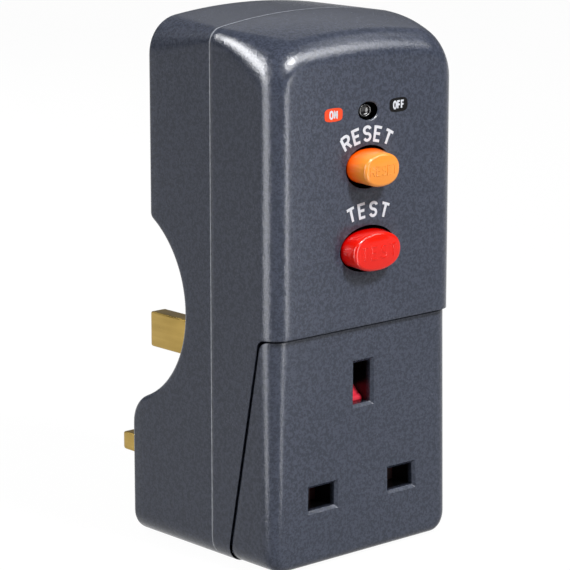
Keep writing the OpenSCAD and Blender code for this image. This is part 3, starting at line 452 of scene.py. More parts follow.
# the upper outline at each depth: up the right side, round the corner arc until it runs along the crown,
# over to the left and down again; inset draws the sides inwards, drop lowers the crown
def archRows(y, inset, drop, corner, sideZ, across):
    y, inset, drop, corner = (
        np.reshape(v, (-1, 1)) * 1.0 for v in np.broadcast_arrays(y, inset, drop, corner)
    )
    wide = half - inset
    r = np.maximum(corner - inset * case["cornerShrink"], case["leastCorner"])
    turn = np.full(y.shape, np.pi / 2)
    near = case["slopeStep"]
    for step in range(case["slopeTries"]):
        x = wide - r + r * np.cos(turn)
        turn = np.arctan2(1, (crownAt(x - near, y) - crownAt(x + near, y)) / (2 * near))
    x = wide - r + r * np.cos(turn)
    z = crownAt(x, y) - drop - r * np.sin(turn)
    low = np.tile(sideZ, (len(y), 1))
    rise = low[:, -1:] + (z - low[:, -1:]) * np.linspace(0, 1, case["riseSteps"])[1:]
    angle = turn * np.linspace(0, 1, case["cornerSteps"])[1:]
    upX = np.concatenate([wide + 0 * low, wide + 0 * rise, wide - r + r * np.cos(angle)], axis=1)
    upZ = np.concatenate([low, rise, z + r * np.sin(angle)], axis=1)
    topX = x * across[1:-1]
    return mirrorRows(upX, upZ, topX, crownAt(topX, y) - drop, y)


# the lower outline at each depth: down the right side, round the base corner, along the base to the left
def baseRows(y, inset, corner, sideZ, across, wide=half, floor=case["baseZ"]):
    y, inset = (np.reshape(v, (-1, 1)) * 1.0 for v in np.broadcast_arrays(y, inset))
    r = np.maximum(corner - inset, case["leastCorner"])
    angle = np.pi / 2 * np.linspace(0, 1, case["cornerSteps"])[1:]
    low = np.tile(sideZ, (len(y), 1))
    downX = np.concatenate([wide - inset + 0 * low, wide - inset - r + r * np.cos(angle)], axis=1)
    downZ = np.concatenate([low, floor + inset + r - r * np.sin(angle)], axis=1)
    acrossX = (wide - inset - r) * across[1:-1]
    return mirrorRows(downX, downZ, acrossX, floor + inset + 0 * acrossX, y)


# the side seam between front moulding and socket cover, as depth over height: a slanted line that
# ends in a round under the panel's lip

seam = {"lineY": -39.67, "lineZ": 29.6, "slant": 0.2, "lipZ": 34.5, "round": 2.0, "arcSteps": 7}
seamTilt = np.arctan(seam["slant"])


# depth on the slanted line: further back by the slant for each step down, and forwards by the gap
def seamLine(z, gap):
    return seam["lineY"] - gap + seam["slant"] * (seam["lineZ"] - z)


# depth on the whole seam: the circle that touches line and lip above their meeting, the line below it
def seamDepth(z, gap=0.0):
    top = seam["lipZ"] - gap
    r = seam["round"]
    centreY = seamLine(top, gap) - r * (1 - np.sin(seamTilt)) / np.cos(seamTilt)
    rise = np.clip(z - (top - r), 0, r)
    bend = centreY + np.sqrt(r ** 2 - rise ** 2)
    return np.where(z > top - r + r * np.sin(seamTilt), bend, seamLine(z, gap))


# heights of the seam's rows: close together on the round, even below it
def seamHeights(gap, low, count):
    top = seam["lipZ"] - gap
    angle = np.linspace(np.pi / 2, seamTilt, seam["arcSteps"])
    bend = top - seam["round"] * (1 - np.sin(angle))
    return np.concatenate([bend, np.linspace(bend[-1], low, count)[1:]])


# front moulding

frontShell = {
    "columns": 73, "sideStep": 0.78, "sideTop": 78.0, "depthSteps": 16, "lipSteps": 5, "roundSteps": 11,
    "skirtRows": 30, "sharp": 27,
    "testHole": ((0, 50.4), 7.65, 4.75, (9.3, 6.6)),
    "resetHole": ((0, 67.1), 6.15, 4.4, (7.8, 6.0)),
    "windowHole": ((0, 78.4), 2.95, 2.1, (4.3, 3.4)), "windowLip": (0.3, 0.2),
}


# inset of a surface where it rounds into the panel: a quarter circle
def frontInset(y, r=case["frontRound"]):
    into = np.clip(panelY + r - y, 0, r)
    return r - np.sqrt(r ** 2 - into ** 2)


# outlines from the parting line to the panel, whose corners grow with a power of the distance, then the
# panel with its holes, then the skirts beside the socket cover
def frontSheet():
    sheet, r = Sheet(), case["frontRound"]
    across = np.linspace(1, -1, frontShell["columns"])
    start = partingY - case["partingGap"]
    lipY = float(seamDepth(np.array(seam["lipZ"])))
    roundY = panelY + r
    lipTurn = np.arcsin((roundY - lipY) / r)
    near = np.linspace(start, roundY, frontShell["depthSteps"])
    bend = roundY - r * np.sin(np.linspace(0, lipTurn, frontShell["lipSteps"])[1:])
    turn = np.linspace(lipTurn, np.pi / 2, frontShell["roundSteps"])
    rest = roundY - r * np.sin(turn[1:])
    toLip = np.concatenate([near, bend])
    depth = np.concatenate([toLip, rest])
    sideZ = np.arange(seam["lipZ"], frontShell["sideTop"], frontShell["sideStep"])
    share = (partingY - depth) / (partingY - panelY)
    growth = case["frontCorner"] - case["partingCorner"]
    corner = case["partingCorner"] + growth * share ** case["cornerPower"]
    drop = frontInset(depth, case["topRound"])
    rows, count = archRows(depth, frontInset(depth), drop, corner, sideZ, across)
    sheet.grid(rows)
    panel = capRows(rows[-1], count, across)
    holes = []
    for name in ("testHole", "resetHole", "windowHole"):
        centre, halfX, halfZ, reach = frontShell[name]
        rings = [("oval", halfX, halfZ, panelY)]
        if name == "windowHole":
            lip, sunk = frontShell["windowLip"]
            rings.append(("oval", halfX - lip, halfZ - lip, panelY + sunk))  # broken edge of the window
        holes.append((centre, reach, rings))
    piercedGrid(sheet, panel, holes)
    # skirts: each row runs from the parting line to the seam at its own height
    lowZ = seamHeights(0.0, case["baseZ"] + case["baseCorner"], frontShell["skirtRows"])
    path = baseRows(0.0, 0.0, case["baseCorner"], lowZ, across)[0][0]
    reach = seamDepth(path[:, 2]) - start
    y = start + reach * ((toLip - start) / (lipY - start))[:, None]
    x = path[:, 0] - np.sign(path[:, 0]) * frontInset(y)
    sheet.grid(pointGrid(x, y, path[:, 2]))
    return sheet


makePiece(
    "frontMoulding", frontSheet(), "case", "case_grey",
    wall=case["wall"], edge=case["brokenEdge"], stands=["front_shell"], sharp=frontShell["sharp"],
)
print("front moulding done")


# rear moulding: crown part, base part and the finger scoop between them

rearShell = {
    "scoopRadius": 21.5, "scoopY": 4.1, "scoopZ": 35.8, "lowRound": 7.0, "highRound": 2.0,
    "tongueHalf": 10.5, "tongueZ": 22.23, "scoopLow": 5.0, "scoopHigh": 60.0, "tongueTop": 35.0,
    "sideColumns": 19, "midColumns": 25, "depthSteps": 10, "roundSteps": 5, "wallSteps": 5, "archSteps": 7,
    "crownLow": 80.0, "crownRows": 24, "baseRows": 19, "profileRows": (8, 9, 8, 44, 8, 5), "flush": 1e-6,
    "wellRadius": 2.7, "wellReach": 3.9, "wellFloor": 1.5, "wellSteps": 4,
    "lowWell": ((18.3, -7.5), -11.0), "highWell": ((18.3, 85.7), -16.7),
}


# rows of the scoop's profile, low to high: depth, height and the outward normal of plug face, lower round,
# scoop circle, upper round and back, each round touching both of its neighbours
def scoopProfile():
    form = rearShell
    r, cy, cz = form["scoopRadius"], form["scoopY"], form["scoopZ"]
    a, b = form["lowRound"], form["highRound"]
    lowC = np.array([-a, cz - np.sqrt((r + a) ** 2 - (cy + a) ** 2)])
    highC = np.array([backY - b, cz + np.sqrt((r + b) ** 2 - (cy - backY + b) ** 2)])
    lowTurn = np.arctan2(cz - lowC[1], cy - lowC[0])
    highTurn = np.arctan2(cz - highC[1], cy - highC[0])
    split = np.arcsin((form["tongueZ"] - cz) / r)

    # flat rows, with the normal along Y
    def face(y, z0, z1, count):
        z = np.linspace(z0, z1, count)
        return np.stack([0 * z + y, z, 0 * z + 1, 0 * z], axis=-1)

    # a round, with the normal away from its centre
    def bend(centre, radius, angle):
        out = circle(angle)
        return np.concatenate([centre + radius * out, out], axis=-1)

    # the scoop's circle, with the normal towards its centre
    def hollow(angle):
        out = circle(angle)
        return np.concatenate([np.array([cy, cz]) + r * out, -out], axis=-1)

    low, high, cut = lowTurn - np.pi, highTurn + np.pi, -np.pi - split
    n = form["profileRows"]
    return np.concatenate([
        face(0.0, form["scoopLow"], lowC[1], n[0]),
        bend(lowC, a, np.linspace(0, lowTurn, n[1])[1:]),
        hollow(np.linspace(low, cut, n[2])[1:]),
        hollow(np.linspace(cut, high - 2 * np.pi, n[3])[1:]),
        bend(highC, b, np.linspace(highTurn, 0, n[4])[1:]),
        face(backY, highC[1], form["scoopHigh"], n[5])[1:],
    ])


# depth on the scoop's circle: its centre's, less the root of the radius squared less the height squared
def scoopDepth(z):
    r, cy, cz = rearShell["scoopRadius"], rearShell["scoopY"], rearShell["scoopZ"]
    return cy - np.sqrt(r ** 2 - (z - cz) ** 2)


# crown part and base part as outlines from the parting line to their backs, then the scoop and the tongue
def rearSheet():
    sheet, form = Sheet(), rearShell
    r = case["rearRound"]
    wide = half - r
    tongue = form["tongueHalf"]
    edge = np.linspace(1, tongue / wide, form["sideColumns"])
    middle = np.linspace(tongue / wide, -tongue / wide, form["midColumns"])
    across = np.concatenate([edge, middle[1:-1], -edge[::-1]])
    turn = np.linspace(0, np.pi / 2, form["roundSteps"] + 1)
    start = partingY + case["partingGap"]
    ramp = np.linspace(0, 1, form["depthSteps"])

    # depths and insets from the parting line to a back plane, rounded into it
    def toBack(back):
        y = np.concatenate([start + (back - r - start) * ramp, back - r + r * np.sin(turn[1:])])
        return y, np.concatenate([0 * ramp, r - r * np.cos(turn[1:])])

    # flat back with its screw wells
    def backWithWells(rim, count, well):
        rows = capRows(rim, count, across)
        back = rows[0, 0, 1]
        (x, z), floor = well
        reach, radius, least = form["wellReach"], form["wellRadius"], form["wellFloor"]
        rings = [("oval", radius, radius, y) for y in np.linspace(back, floor, form["wellSteps"])]
        rings.append(("oval", least, least, floor))
        piercedGrid(sheet, rows, [(centre, (reach, reach), rings) for centre in ((x, z), (-x, z))])

    y, inset = toBack(backY)
    share = (y - partingY) / (backY - partingY)
    corner = case["partingCorner"] + (case["rearCorner"] - case["partingCorner"]) * share
    sides = np.linspace(form["scoopHigh"], form["crownLow"], form["crownRows"])
    rows, count = archRows(y, inset, inset, corner, sides, across)
    sheet.grid(rows)
    backWithWells(rows[-1], count, form["highWell"])

    y, inset = toBack(0.0)
    sides = np.linspace(form["scoopLow"], case["baseZ"] + case["baseCorner"], form["baseRows"])
    rows, count = baseRows(y, inset, case["baseCorner"], sides, across)
    sheet.grid(rows)
    backWithWells(rows[-1], count, form["lowWell"])

    # scoop: sides and their round follow the profile's normal, the back follows the profile itself
    profile = scoopProfile()
    py, pz, ny, nz = (profile[:, k][:, None] for k in range(4))
    y = np.concatenate([start + (py - r * ny - start) * ramp, py - r * ny * (1 - np.sin(turn[1:]))], axis=1)
    z = np.concatenate([pz - r * nz + 0 * ramp, pz - r * nz * (1 - np.sin(turn[1:]))], axis=1)
    x = np.concatenate([half + 0 * ramp, wide + r * np.cos(turn[1:])])
    sheet.grid(pointGrid(x, y, z))
    sheet.grid(pointGrid(-x, y, z))
    for columns in (edge, -edge):
        sheet.grid(pointGrid(wide * columns, py, pz))

    # middle of the scoop: below the tongue, above it, and round its arched top
    foot = int(np.flatnonzero(profile[:, 0] < -form["flush"])[0]) - 1
    waist = int(np.argmin(np.abs(profile[:, 1] - form["tongueZ"])))
    brow = int(np.flatnonzero(profile[:, 1] > form["tongueTop"])[0])
    flat = pointGrid(wide * middle, py, pz)
    face = pointGrid(wide * middle, 0.0, pz)
    sheet.grid(face[:waist + 1])
    sheet.grid(flat[brow:])
    rim = np.concatenate([flat[waist:brow, 0], flat[brow], flat[waist:brow, -1][::-1]])
    angle = np.arctan2(rim[:, 2] - form["tongueZ"], rim[:, 0])
    arch = tongue * circle(angle) + (0, form["tongueZ"])
    step = np.linspace(0, 1, form["archSteps"])[:, None, None]
    spread = arch * (1 - step) + rim[:, [0, 2]] * step
    sheet.grid(pointGrid(spread[..., 0], scoopDepth(spread[..., 1]), spread[..., 1]))

    # tongue: wall from its face to the scoop, and the arched end of its face
    right = pointGrid(tongue, profile[foot:waist, 0], profile[foot:waist, 1])
    bend = pointGrid(arch[:, 0], scoopDepth(arch[:, 1]), arch[:, 1])
    edge = np.concatenate([right, bend, (right * (-1, 1, 1))[::-1]])
    depth = np.linspace(0, 1, form["wallSteps"])[:, None]
    sheet.grid(pointGrid(edge[:, 0], edge[:, 1] * depth, edge[:, 2]))
    spoke = (wide * middle[:len(middle) // 2 + 1])[:, None]
    sheet.grid(pointGrid(spoke * np.cos(angle), 0.0, form["tongueZ"] + spoke * np.sin(angle)))
    return sheet


makePiece(
    "rearMoulding", rearSheet(), "case", "case_grey",
    wall=case["wall"], edge=case["brokenEdge"], stands=["rear_shell"],
)
print("rear moulding done")


# socket cover

cover = {
    "halfWide": 25.0, "floorZ": -14.2, "faceY": -44.5, "gap": 0.5, "corner": 4.3,
    "topRound": 4.0, "lowRound": 2.6, "footRound": 1.8, "columns": 73, "sideRows": 60,
    "depthSteps": 8, "roundSteps": 8, "throat": 6.4, "chamfer": 0.6, "wall": 1.7,
    "liveSlot": ((11.115, 0), 3.6, 2.4, (6.2, 4.6)), "neutralSlot": ((-11.115, 0), 3.6, 2.4, (6.2, 4.6)),
    "earthSlot": ((0, 22.23), 2.4, 4.4, (4.6, 6.8)),
}
# the lip's own sizes: inset from the case, reach behind the seam, whole depth, and the distances behind the
# cover's face and the panel
coverLip = {
    "inset": 2.3, "reach": 2.4, "under": 2.0, "depth": 6.24, "behind": 2.2, "strip": 2.9, "wall": 0.8,
    "rows": 40, "steps": 6, "columns": 30,
}


# strip from the seam forwards, rounded into the face; the round's radius falls from the top to the base,
# and the rim is drawn inwards along the outline's own normal
def coverSheet():
    sheet = Sheet()
    names = ("faceY", "corner", "gap", "footRound", "floorZ", "halfWide")
    faceY, corner, gap, foot, floor, wide = (cover[k] for k in names)
    across = np.linspace(1, -1, cover["columns"])
    low = seamHeights(gap, floor + corner, cover["sideRows"])
    outline, count = baseRows(0.0, 0.0, corner, low, across, wide, floor)
    path = outline[0]
    x, z = path[:, 0], path[:, 2]
    cornerX, cornerZ = wide - corner, floor + corner
    away = np.stack([x - np.clip(x, -cornerX, cornerX), np.minimum(z - cornerZ, 0)], axis=-1)
    away /= np.linalg.norm(away, axis=1)[:, None]
    rise = np.clip((z - cornerZ) / (seam["lipZ"] - cornerZ), 0, 1)
    side = cover["lowRound"] + (cover["topRound"] - cover["lowRound"]) * rise
    r = foot + (side - foot) * np.abs(away[:, 0]) ** 2
    start = seamDepth(z, gap)
    turn0 = np.arcsin(np.clip((faceY + r - start) / r, 0, 1))
    straight = np.linspace(0, 1, cover["depthSteps"])[:-1, None]
    reach = np.maximum(start - (faceY + r), 0)
    y0 = start - reach * straight
    turn = turn0 + (np.pi / 2 - turn0) * np.linspace(0, 1, cover["roundSteps"])[:, None]
    inset = np.concatenate([0 * y0 + (r - r * np.cos(turn0)), r * (1 - np.cos(turn))])
    y = np.concatenate([y0, faceY + r * (1 - np.sin(turn))])
    rows = pointGrid(x - away[:, 0] * inset, y, z - away[:, 1] * inset)
    sheet.grid(rows)
    face = capRows(rows[-1], count, across)
    holes = []
    c = cover["chamfer"]
    for centre, halfX, halfZ, reach in (cover[k] for k in ("liveSlot", "neutralSlot", "earthSlot")):
        holes.append((centre, reach, [
            ("square", halfX + c, halfZ + c, faceY), ("square", halfX, halfZ, faceY + c),
            ("square", halfX, halfZ, faceY + cover["throat"]),
        ]))
    piercedGrid(sheet, face, holes)
    return sheet


# tongue behind the seams: the cover's outline drawn in, from in front of the seam to behind it, and a strip
# behind the panel's lip
def coverLipSheet():
    sheet = Sheet()
    across = np.linspace(1, -1, cover["columns"])
    reach = coverLip["reach"]
    low = np.linspace(seam["lipZ"] + reach, cover["floorZ"] + cover["corner"], coverLip["rows"])
    path = baseRows(0.0, coverLip["inset"], cover["corner"], low, across, half, case["baseZ"])[0][0]
    start = seamDepth(np.minimum(path[:, 2], seam["lipZ"] - coverLip["under"])) + reach
    front = np.maximum(start - coverLip["depth"], cover["faceY"] + coverLip["behind"])
    y = start + (front - start) * np.linspace(0, 1, coverLip["steps"])[:, None]
    sheet.grid(pointGrid(path[:, 0], y, path[:, 2]))
    z = np.linspace(seam["lipZ"] - reach, seam["lipZ"] + reach, coverLip["steps"])[:, None]
    x = (half - coverLip["inset"]) * np.linspace(-1, 1, coverLip["columns"])
    sheet.grid(pointGrid(x, panelY + coverLip["strip"], z))
    return sheet


makePiece(
    "socketCover", coverSheet(), "case", "case_grey", coverGrey,
    wall=cover["wall"], edge=case["brokenEdge"], stands=["socket_cover"],
)
makePiece("socketCoverLip", coverLipSheet(), "case", "case_grey", wall=coverLip["wall"])
print("socket cover done")


# push buttons: oval rings from the flange behind the panel to the domed end; the oval is a superellipse,
# and lean raises the rings behind the panel and fades along the straight draft

buttons = {
    "reset": {
        "centre": (0, 66.95), "half": (5.7, 3.5), "face": (4.8, 3.4), "out": 4.62, "round": 0.7,
        "dome": 0.25, "lean": 0.35, "slot": "orange_gloss",
    },
    "test": {
        "centre": (0, 50.15), "half": (7.2, 3.95), "face": (6.45, 3.95), "out": 3.5, "round": 0.7,
        "dome": 0.3, "lean": 0.25, "slot": "red_gloss",
    },
}
buttonFit = {
    "power": 2.25, "points": 96, "inner": -43.3, "flangeBack": -41.8, "flange": 1.3, "sunk": 0.4,
    "edge": 0.15, "sharp": 40, "draftSteps": 6, "roundSteps": 8,
    "domeRings": (0.85, 0.7, 0.5, 0.3, 0.12, 0.0),
}


# closed surface of rings (half sizes a and b, depth, lean): each ring's cosine and sine are taken to the
# power of two over the superellipse's own power
def ovalSheet(centre, rings, form):
    unit = circle(np.linspace(0, 2 * np.pi, form["points"], endpoint=False))
    unit = np.sign(unit) * np.abs(unit) ** (2 / form["power"])
    a, b, y, rise = np.array(rings, float).T[:, :, None]
    return Sheet().grid(
        pointGrid(centre[0] + a * unit[:, 0], y, centre[1] + rise + b * unit[:, 1]), loop=True,
    )


# flange, straight draft from the panel to the tip, a quarter circle over the edge and a shallow dome, whose
# depth falls with the square of the distance from the middle
def buttonSheet(b):
    (hx, hz), (fx, fz), r, up = b["half"], b["face"], b["round"], b["lean"]
    tip = panelY - b["out"] + b["dome"]
    f, back, inner = (buttonFit[k] for k in ("flange", "flangeBack", "inner"))
    rings = [(0, 0, back, up), (hx + f, hz + f, back, up), (hx + f, hz + f, inner, up), (hx, hz, inner, up)]
    rings += [(hx, hz, panelY + buttonFit["sunk"], up)]
    rings += [
        (hx + (fx - hx) * t, hz + (fz - hz) * t, panelY + (tip + r - panelY) * t, up * (1 - t))
        for t in np.linspace(0, 1, buttonFit["draftSteps"])
    ]
    turn = np.linspace(0, np.pi / 2, buttonFit["roundSteps"])[1:]
    rings += [(fx - r + r * np.cos(a), fz - r + r * np.cos(a), tip + r - r * np.sin(a), 0) for a in turn]
    rings += [
        ((fx - r) * t, (fz - r) * t, tip - b["dome"] * (1 - t ** 2), 0) for t in buttonFit["domeRings"]
    ]
    return ovalSheet(b["centre"], rings, buttonFit)


for key, b in buttons.items():
    makePiece(
        key + "Cap", buttonSheet(b), key, b["slot"], edge=buttonFit["edge"], stands=[key + "_button"],
        sharp=buttonFit["sharp"],
    )
print("buttons done")


# window over the flag: an oval plate behind the panel with a bead standing on it, hollowed at its end

lens = {
    "centre": (0, 78.4), "plate": (3.85, 3.0), "plateY": (-43.0, -43.3), "bead": (1.65, 1.4), "front": -44.6,
    "power": 2.0, "points": 48, "crest": 0.84, "round": 0.25, "roundSteps": 9, "bowl": 0.45,
    "bowlDepth": 0.55, "bowlRings": (0.6, 0.5, 0.4, 0.3, 0.2, 0.1, 0.0), "edge": 0.05, "sharp": 50,
}


# plate, bead, a half circle over the crest into the bowl, whose depth falls with the square of the distance
# from the middle
def lensSheet():
    (px, pz), (back, face), (bx, bz) = lens["plate"], lens["plateY"], lens["bead"]
    front, low, r = lens["front"], lens["front"] + lens["bowlDepth"], lens["round"]
    rings = [(0, 0, back, 0), (px, pz, back, 0), (px, pz, face, 0), (bx, bz, face, 0), (bx, bz, front + r, 0)]
    middle, reach = lens["crest"], 1 - lens["crest"]
    for turn in np.linspace(0, np.pi, lens["roundSteps"])[1:]:
        share = middle + reach * np.cos(turn)
        rings.append((bx * share, bz * share, front + r * (1 - np.sin(turn)), 0))
    rings += [(bx * t, bz * t, low - lens["bowl"] * t ** 2, 0) for t in lens["bowlRings"]]
    return ovalSheet(lens["centre"], rings, lens)


makePiece(
    "windowBead", lensSheet(), "case", "lens", edge=lens["edge"], stands=["indicator_lens"],
    sharp=lens["sharp"],
)


# legends: strokes of each letter on a unit-high cell, as wide as its advance

lettering = {"bowSteps": 11, "lineSteps": 6, "mitreLeast": -0.6, "bearing": 0.1}


# points on an ellipse between two angles in degrees
def bow(x, z, halfX, halfZ, start, stop, n=lettering["bowSteps"]):
    angle = np.radians(np.linspace(start, stop, n))
    return circle(angle) * (halfX, halfZ) + (x, z)


# points along straight runs between corners
def line(*corners):
    ends = np.array(corners, float)
    mix = np.linspace(0, 1, lettering["lineSteps"])[:, None]
    runs = ends[:-1, None] * (1 - mix) + ends[1:, None] * mix
    return np.concatenate([runs[:, :-1].reshape(-1, 2), ends[-1:]])


letters = {
    "R": (0.72, [line((0, 0), (0, 1)), np.concatenate([
        line((0, 1), (0.32, 1)), bow(0.32, 0.74, 0.25, 0.26, 90, -90)[1:], line((0.32, 0.48), (0, 0.48))[1:],
    ]), line((0.3, 0.48), (0.6, 0))]),
    "E": (0.66, [line((0.52, 0), (0, 0), (0, 1), (0.52, 1)), line((0, 0.52), (0.46, 0.52))]),
    "S": (0.7, [np.concatenate([
        bow(0.29, 0.75, 0.27, 0.25, 20, 270, 16), bow(0.29, 0.25, 0.28, 0.25, 90, -160, 16)[1:],
    ])]),
    "T": (0.66, [line((0, 1), (0.6, 1)), line((0.3, 1), (0.3, 0))]),
    "O": (0.74, [bow(0.31, 0.5, 0.31, 0.5, 0, 360, 28)]),
    "N": (0.74, [line((0, 0), (0, 1), (0.56, 0), (0.56, 1))]),
    "F": (0.62, [line((0.5, 1), (0, 1), (0, 0)), line((0, 0.52), (0.44, 0.52))]),
}


# ribbon along a stroke: each point moves half the width both ways along the mitred normal
def ribbon(points, width):
    run = np.diff(points, axis=0)
    run /= np.linalg.norm(run, axis=1)[:, None]
    normal = np.stack([-run[:, 1], run[:, 0]], axis=-1)
    before, after = np.concatenate([normal[:1], normal]), np.concatenate([normal, normal[-1:]])
    bend = np.maximum((before * after).sum(axis=1), lettering["mitreLeast"])
    mitre = (before + after) / (1 + bend)[:, None]
    return np.stack([points + mitre * width / 2, points - mitre * width / 2])


inkHeight = {"pill": 0.02, "word": 0.05, "thick": 0.05, "layer": 0.004}  # lifts over the panel


# a word centred on its place; on an arc, the distance along the word becomes an angle about the arc's
# centre and the height adds to its radius; depthAt gives the surface that carries it
def wordSheet(text, word, depthAt):
    size, width = word["size"], word["size"] * word.get("narrow", 1.0)
    advance = np.cumsum([0.0] + [letters[c][0] * width + word["space"] for c in text])
    middle = (advance[-1] - word["space"] - lettering["bearing"] * width) / 2
    sheet = Sheet()
    for start, c in zip(advance, text):
        for k, stroke in enumerate(letters[c][1]):
            band = ribbon(stroke * (width, size), word["weight"])
            u, v = band[..., 0] + start - middle, band[..., 1]
            if "arc" in word:
                x = word["at"][0] + (word["arc"] + v) * np.sin(u / word["arc"])
                z = word["at"][1] + (word["arc"] + v) * np.cos(u / word["arc"])
            else:
                x, z = word["at"][0] + u, word["at"][1] + v - size / 2
            sheet.grid(pointGrid(x, depthAt(x, z) - inkHeight["layer"] * k, z))
    return sheet


words = {
    "resetLegend": ("RESET", {"at": (-0.4, 61.0), "arc": 11.5, "size": 2.75, "weight": 0.56, "space": 0.75}),
    "testLegend": ("TEST", {"at": (0.0, 43.1), "arc": 13.9, "size": 2.75, "weight": 0.56, "space": 0.95}),
    "onLegend": ("ON", {"at": (-9.55, 78.55), "size": 1.45, "weight": 0.36, "space": 0.3, "narrow": 0.85}),
    "offLegend": ("OFF", {"at": (8.3, 78.9), "size": 1.45, "weight": 0.36, "space": 0.26, "narrow": 0.85}),
}
pillForm = {"power": 3.6, "points": 64, "rings": (1.0, 0.66, 0.33, 0.0)}
pills = {
    "onPill": {"at": (-9.55, 78.55), "half": (2.42, 1.34), "finish": pillOrange},
    "offPill": {"at": (8.3, 78.9), "half": (2.5, 1.45), "finish": pillBlack},
}


# depth of the flat panel, less the lift
def panelDepth(lift):
    return lambda x, z: panelY - lift


# flat pill: rings of a superellipse shrinking to the middle
def pillSheet(pill):
    (hx, hz), y = pill["half"], panelY - inkHeight["pill"]
    rings = [(hx * t, hz * t, y, 0) for t in pillForm["rings"]]
    return ovalSheet(pill["at"], rings, pillForm)


for name, pill in pills.items():
    makePiece(name, pillSheet(pill), "case", "case_grey", pill["finish"], wall=inkHeight["thick"], side=0)
for name, (text, word) in words.items():
    lift = inkHeight["word"] if "arc" not in word else inkHeight["pill"]
    makePiece(
        name, wordSheet(text, word, panelDepth(lift)), "case", "case_grey", legendWhite,
        wall=inkHeight["thick"], side=0,
    )

# raised words on the caps, lying on the dome
raised = {
    "reset": {"at": (0.0, 66.95), "size": 1.9, "weight": 0.22, "space": 0.28, "narrow": 0.95},
    "test": {"at": (0.0, 50.15), "size": 2.6, "weight": 0.24, "space": 0.9},
}
raisedForm = {"wall": 0.3, "edge": 0.05}


# depth of a cap's domed end: falls with the square of the distance from its middle
def domeDepth(b):
    (fx, fz), r = b["face"], b["round"]
    tip = panelY - b["out"] + b["dome"]

    def depthAt(x, z):
        s = ((x - b["centre"][0]) / (fx - r)) ** 2 + ((z - b["centre"][1]) / (fz - r)) ** 2
        return tip - b["dome"] * (1 - s)
    return depthAt


for key, word in raised.items():
    b = buttons[key]
    makePiece(
        key + "Word", wordSheet(key.upper(), word, domeDepth(b)), key, b["slot"],
        wall=raisedForm["wall"], side=0, edge=raisedForm["edge"],
    )
print("legends done")


# pins and sleeves: a rounded rectangle carried along Y, closed at both ends

pins = {
    "earth": {"centre": (0, 22.23), "half": (2.0, 3.975), "from": -3.0, "to": 22.73, "tip": 1.1},
    "live": {"centre": (11.115, 0), "half": (3.175, 2.0), "from": 9.5, "to": 17.7, "tip": 1.5},
    "neutral": {"centre": (-11.115, 0), "half": (3.175, 2.0), "from": 9.5, "to": 17.7, "tip": 1.5},
}
pinForm = {
    "corner": 0.35, "points": 12, "tipSteps": 7, "edge": 0.12, "sharp": 25,
    "sleeve": [(-3.0, 0.02), (9.35, 0.02), (9.5, 0.15)], "sleeveEdge": 0.08,  # depths and insets
}


# outline of a rounded rectangle: four quarter circles joined by straight sides
def roundedBox(halfX, halfZ, r, n):
    quarter = circle(np.linspace(0, np.pi / 2, n))
    turn = np.array([[0, 1], [-1, 0]])
    turns = [np.eye(2), turn, -np.eye(2), -turn]
    sides = np.array([[1, 1], [-1, 1], [-1, -1], [1, -1]])
    return np.concatenate([s * (halfX - r, halfZ - r) + r * quarter @ t for s, t in zip(sides, turns)])


# the outline at each depth, drawn in by its inset, with a point at both ends
def pinSheet(centre, size, stations):
    out = []
    for y, inset in stations:
        full = roundedBox(size[0] - inset, size[1] - inset, pinForm["corner"], pinForm["points"])
        out.append(pointGrid(centre[0] + full[:, 0], y, centre[1] + full[:, 1]))
    poles = [0 * out[0] + (centre[0], ring[0, 1], centre[1]) for ring in (out[0], out[-1])]
    return Sheet().grid(np.stack([poles[0], *out, poles[1]]), loop=True)


for name, p in pins.items():
    # the tip rounds over by a quarter circle
    turn = np.linspace(0, np.pi / 2, pinForm["tipSteps"])
    ends = zip(p["to"] - p["tip"] * (1 - np.sin(turn)), p["tip"] * (1 - np.cos(turn)))
    makePiece(
        name + "Pin", pinSheet(p["centre"], p["half"], [(p["from"], 0), *ends]), "case", "brass",
        edge=pinForm["edge"], stands=[name + "_pin"], sharp=pinForm["sharp"],
    )
    if name != "earth":
        makePiece(
            name + "Sleeve", pinSheet(p["centre"], p["half"], pinForm["sleeve"]), "case", "sleeve_black",
            edge=pinForm["sleeveEdge"], stands=[name + "_sleeve"], sharp=pinForm["sharp"],
        )
print("pins done")


# wound springs: places are across the axis, ends are the fixed and the moving one, and axis 1 is Y, 2 is Z

springForm = {"wire": 0.8, "clear": 0.05, "steps": 28, "sides": 10, "sharp": 60}
springs = {
    "resetSpring": {
        "node": "reset_spring", "joint": "reset_press", "travel": 3.0, "axis": 1, "places": [(0, 67.1)],
        "radius": 3.25, "ends": (-35.55, -41.8), "turns": 4.5,
    },
    "testSpring": {
        "node": "test_spring", "joint": "test_press", "travel": 2.0, "axis": 1, "places": [(0, 50.4)],
        "radius": 4.6, "ends": (-35.55, -41.8), "turns": 4.5,
    },
    "openingSprings": {
        "node": "opening_springs", "joint": "contact_close", "travel": 2.6, "axis": 1,
        "places": [(-10.35, 67.1), (10.35, 67.1)], "radius": 1.95, "ends": (-21.4, -27.65), "turns": 4.5,
    },
    "shutterSpring": {
        "node": "shutter_spring", "joint": "shutter_slide", "travel": 5.1, "axis": 2, "places": [(0, -37)],
        "radius": 2.0, "ends": (-10.8, -2.9), "turns": 5.5,
    },
}


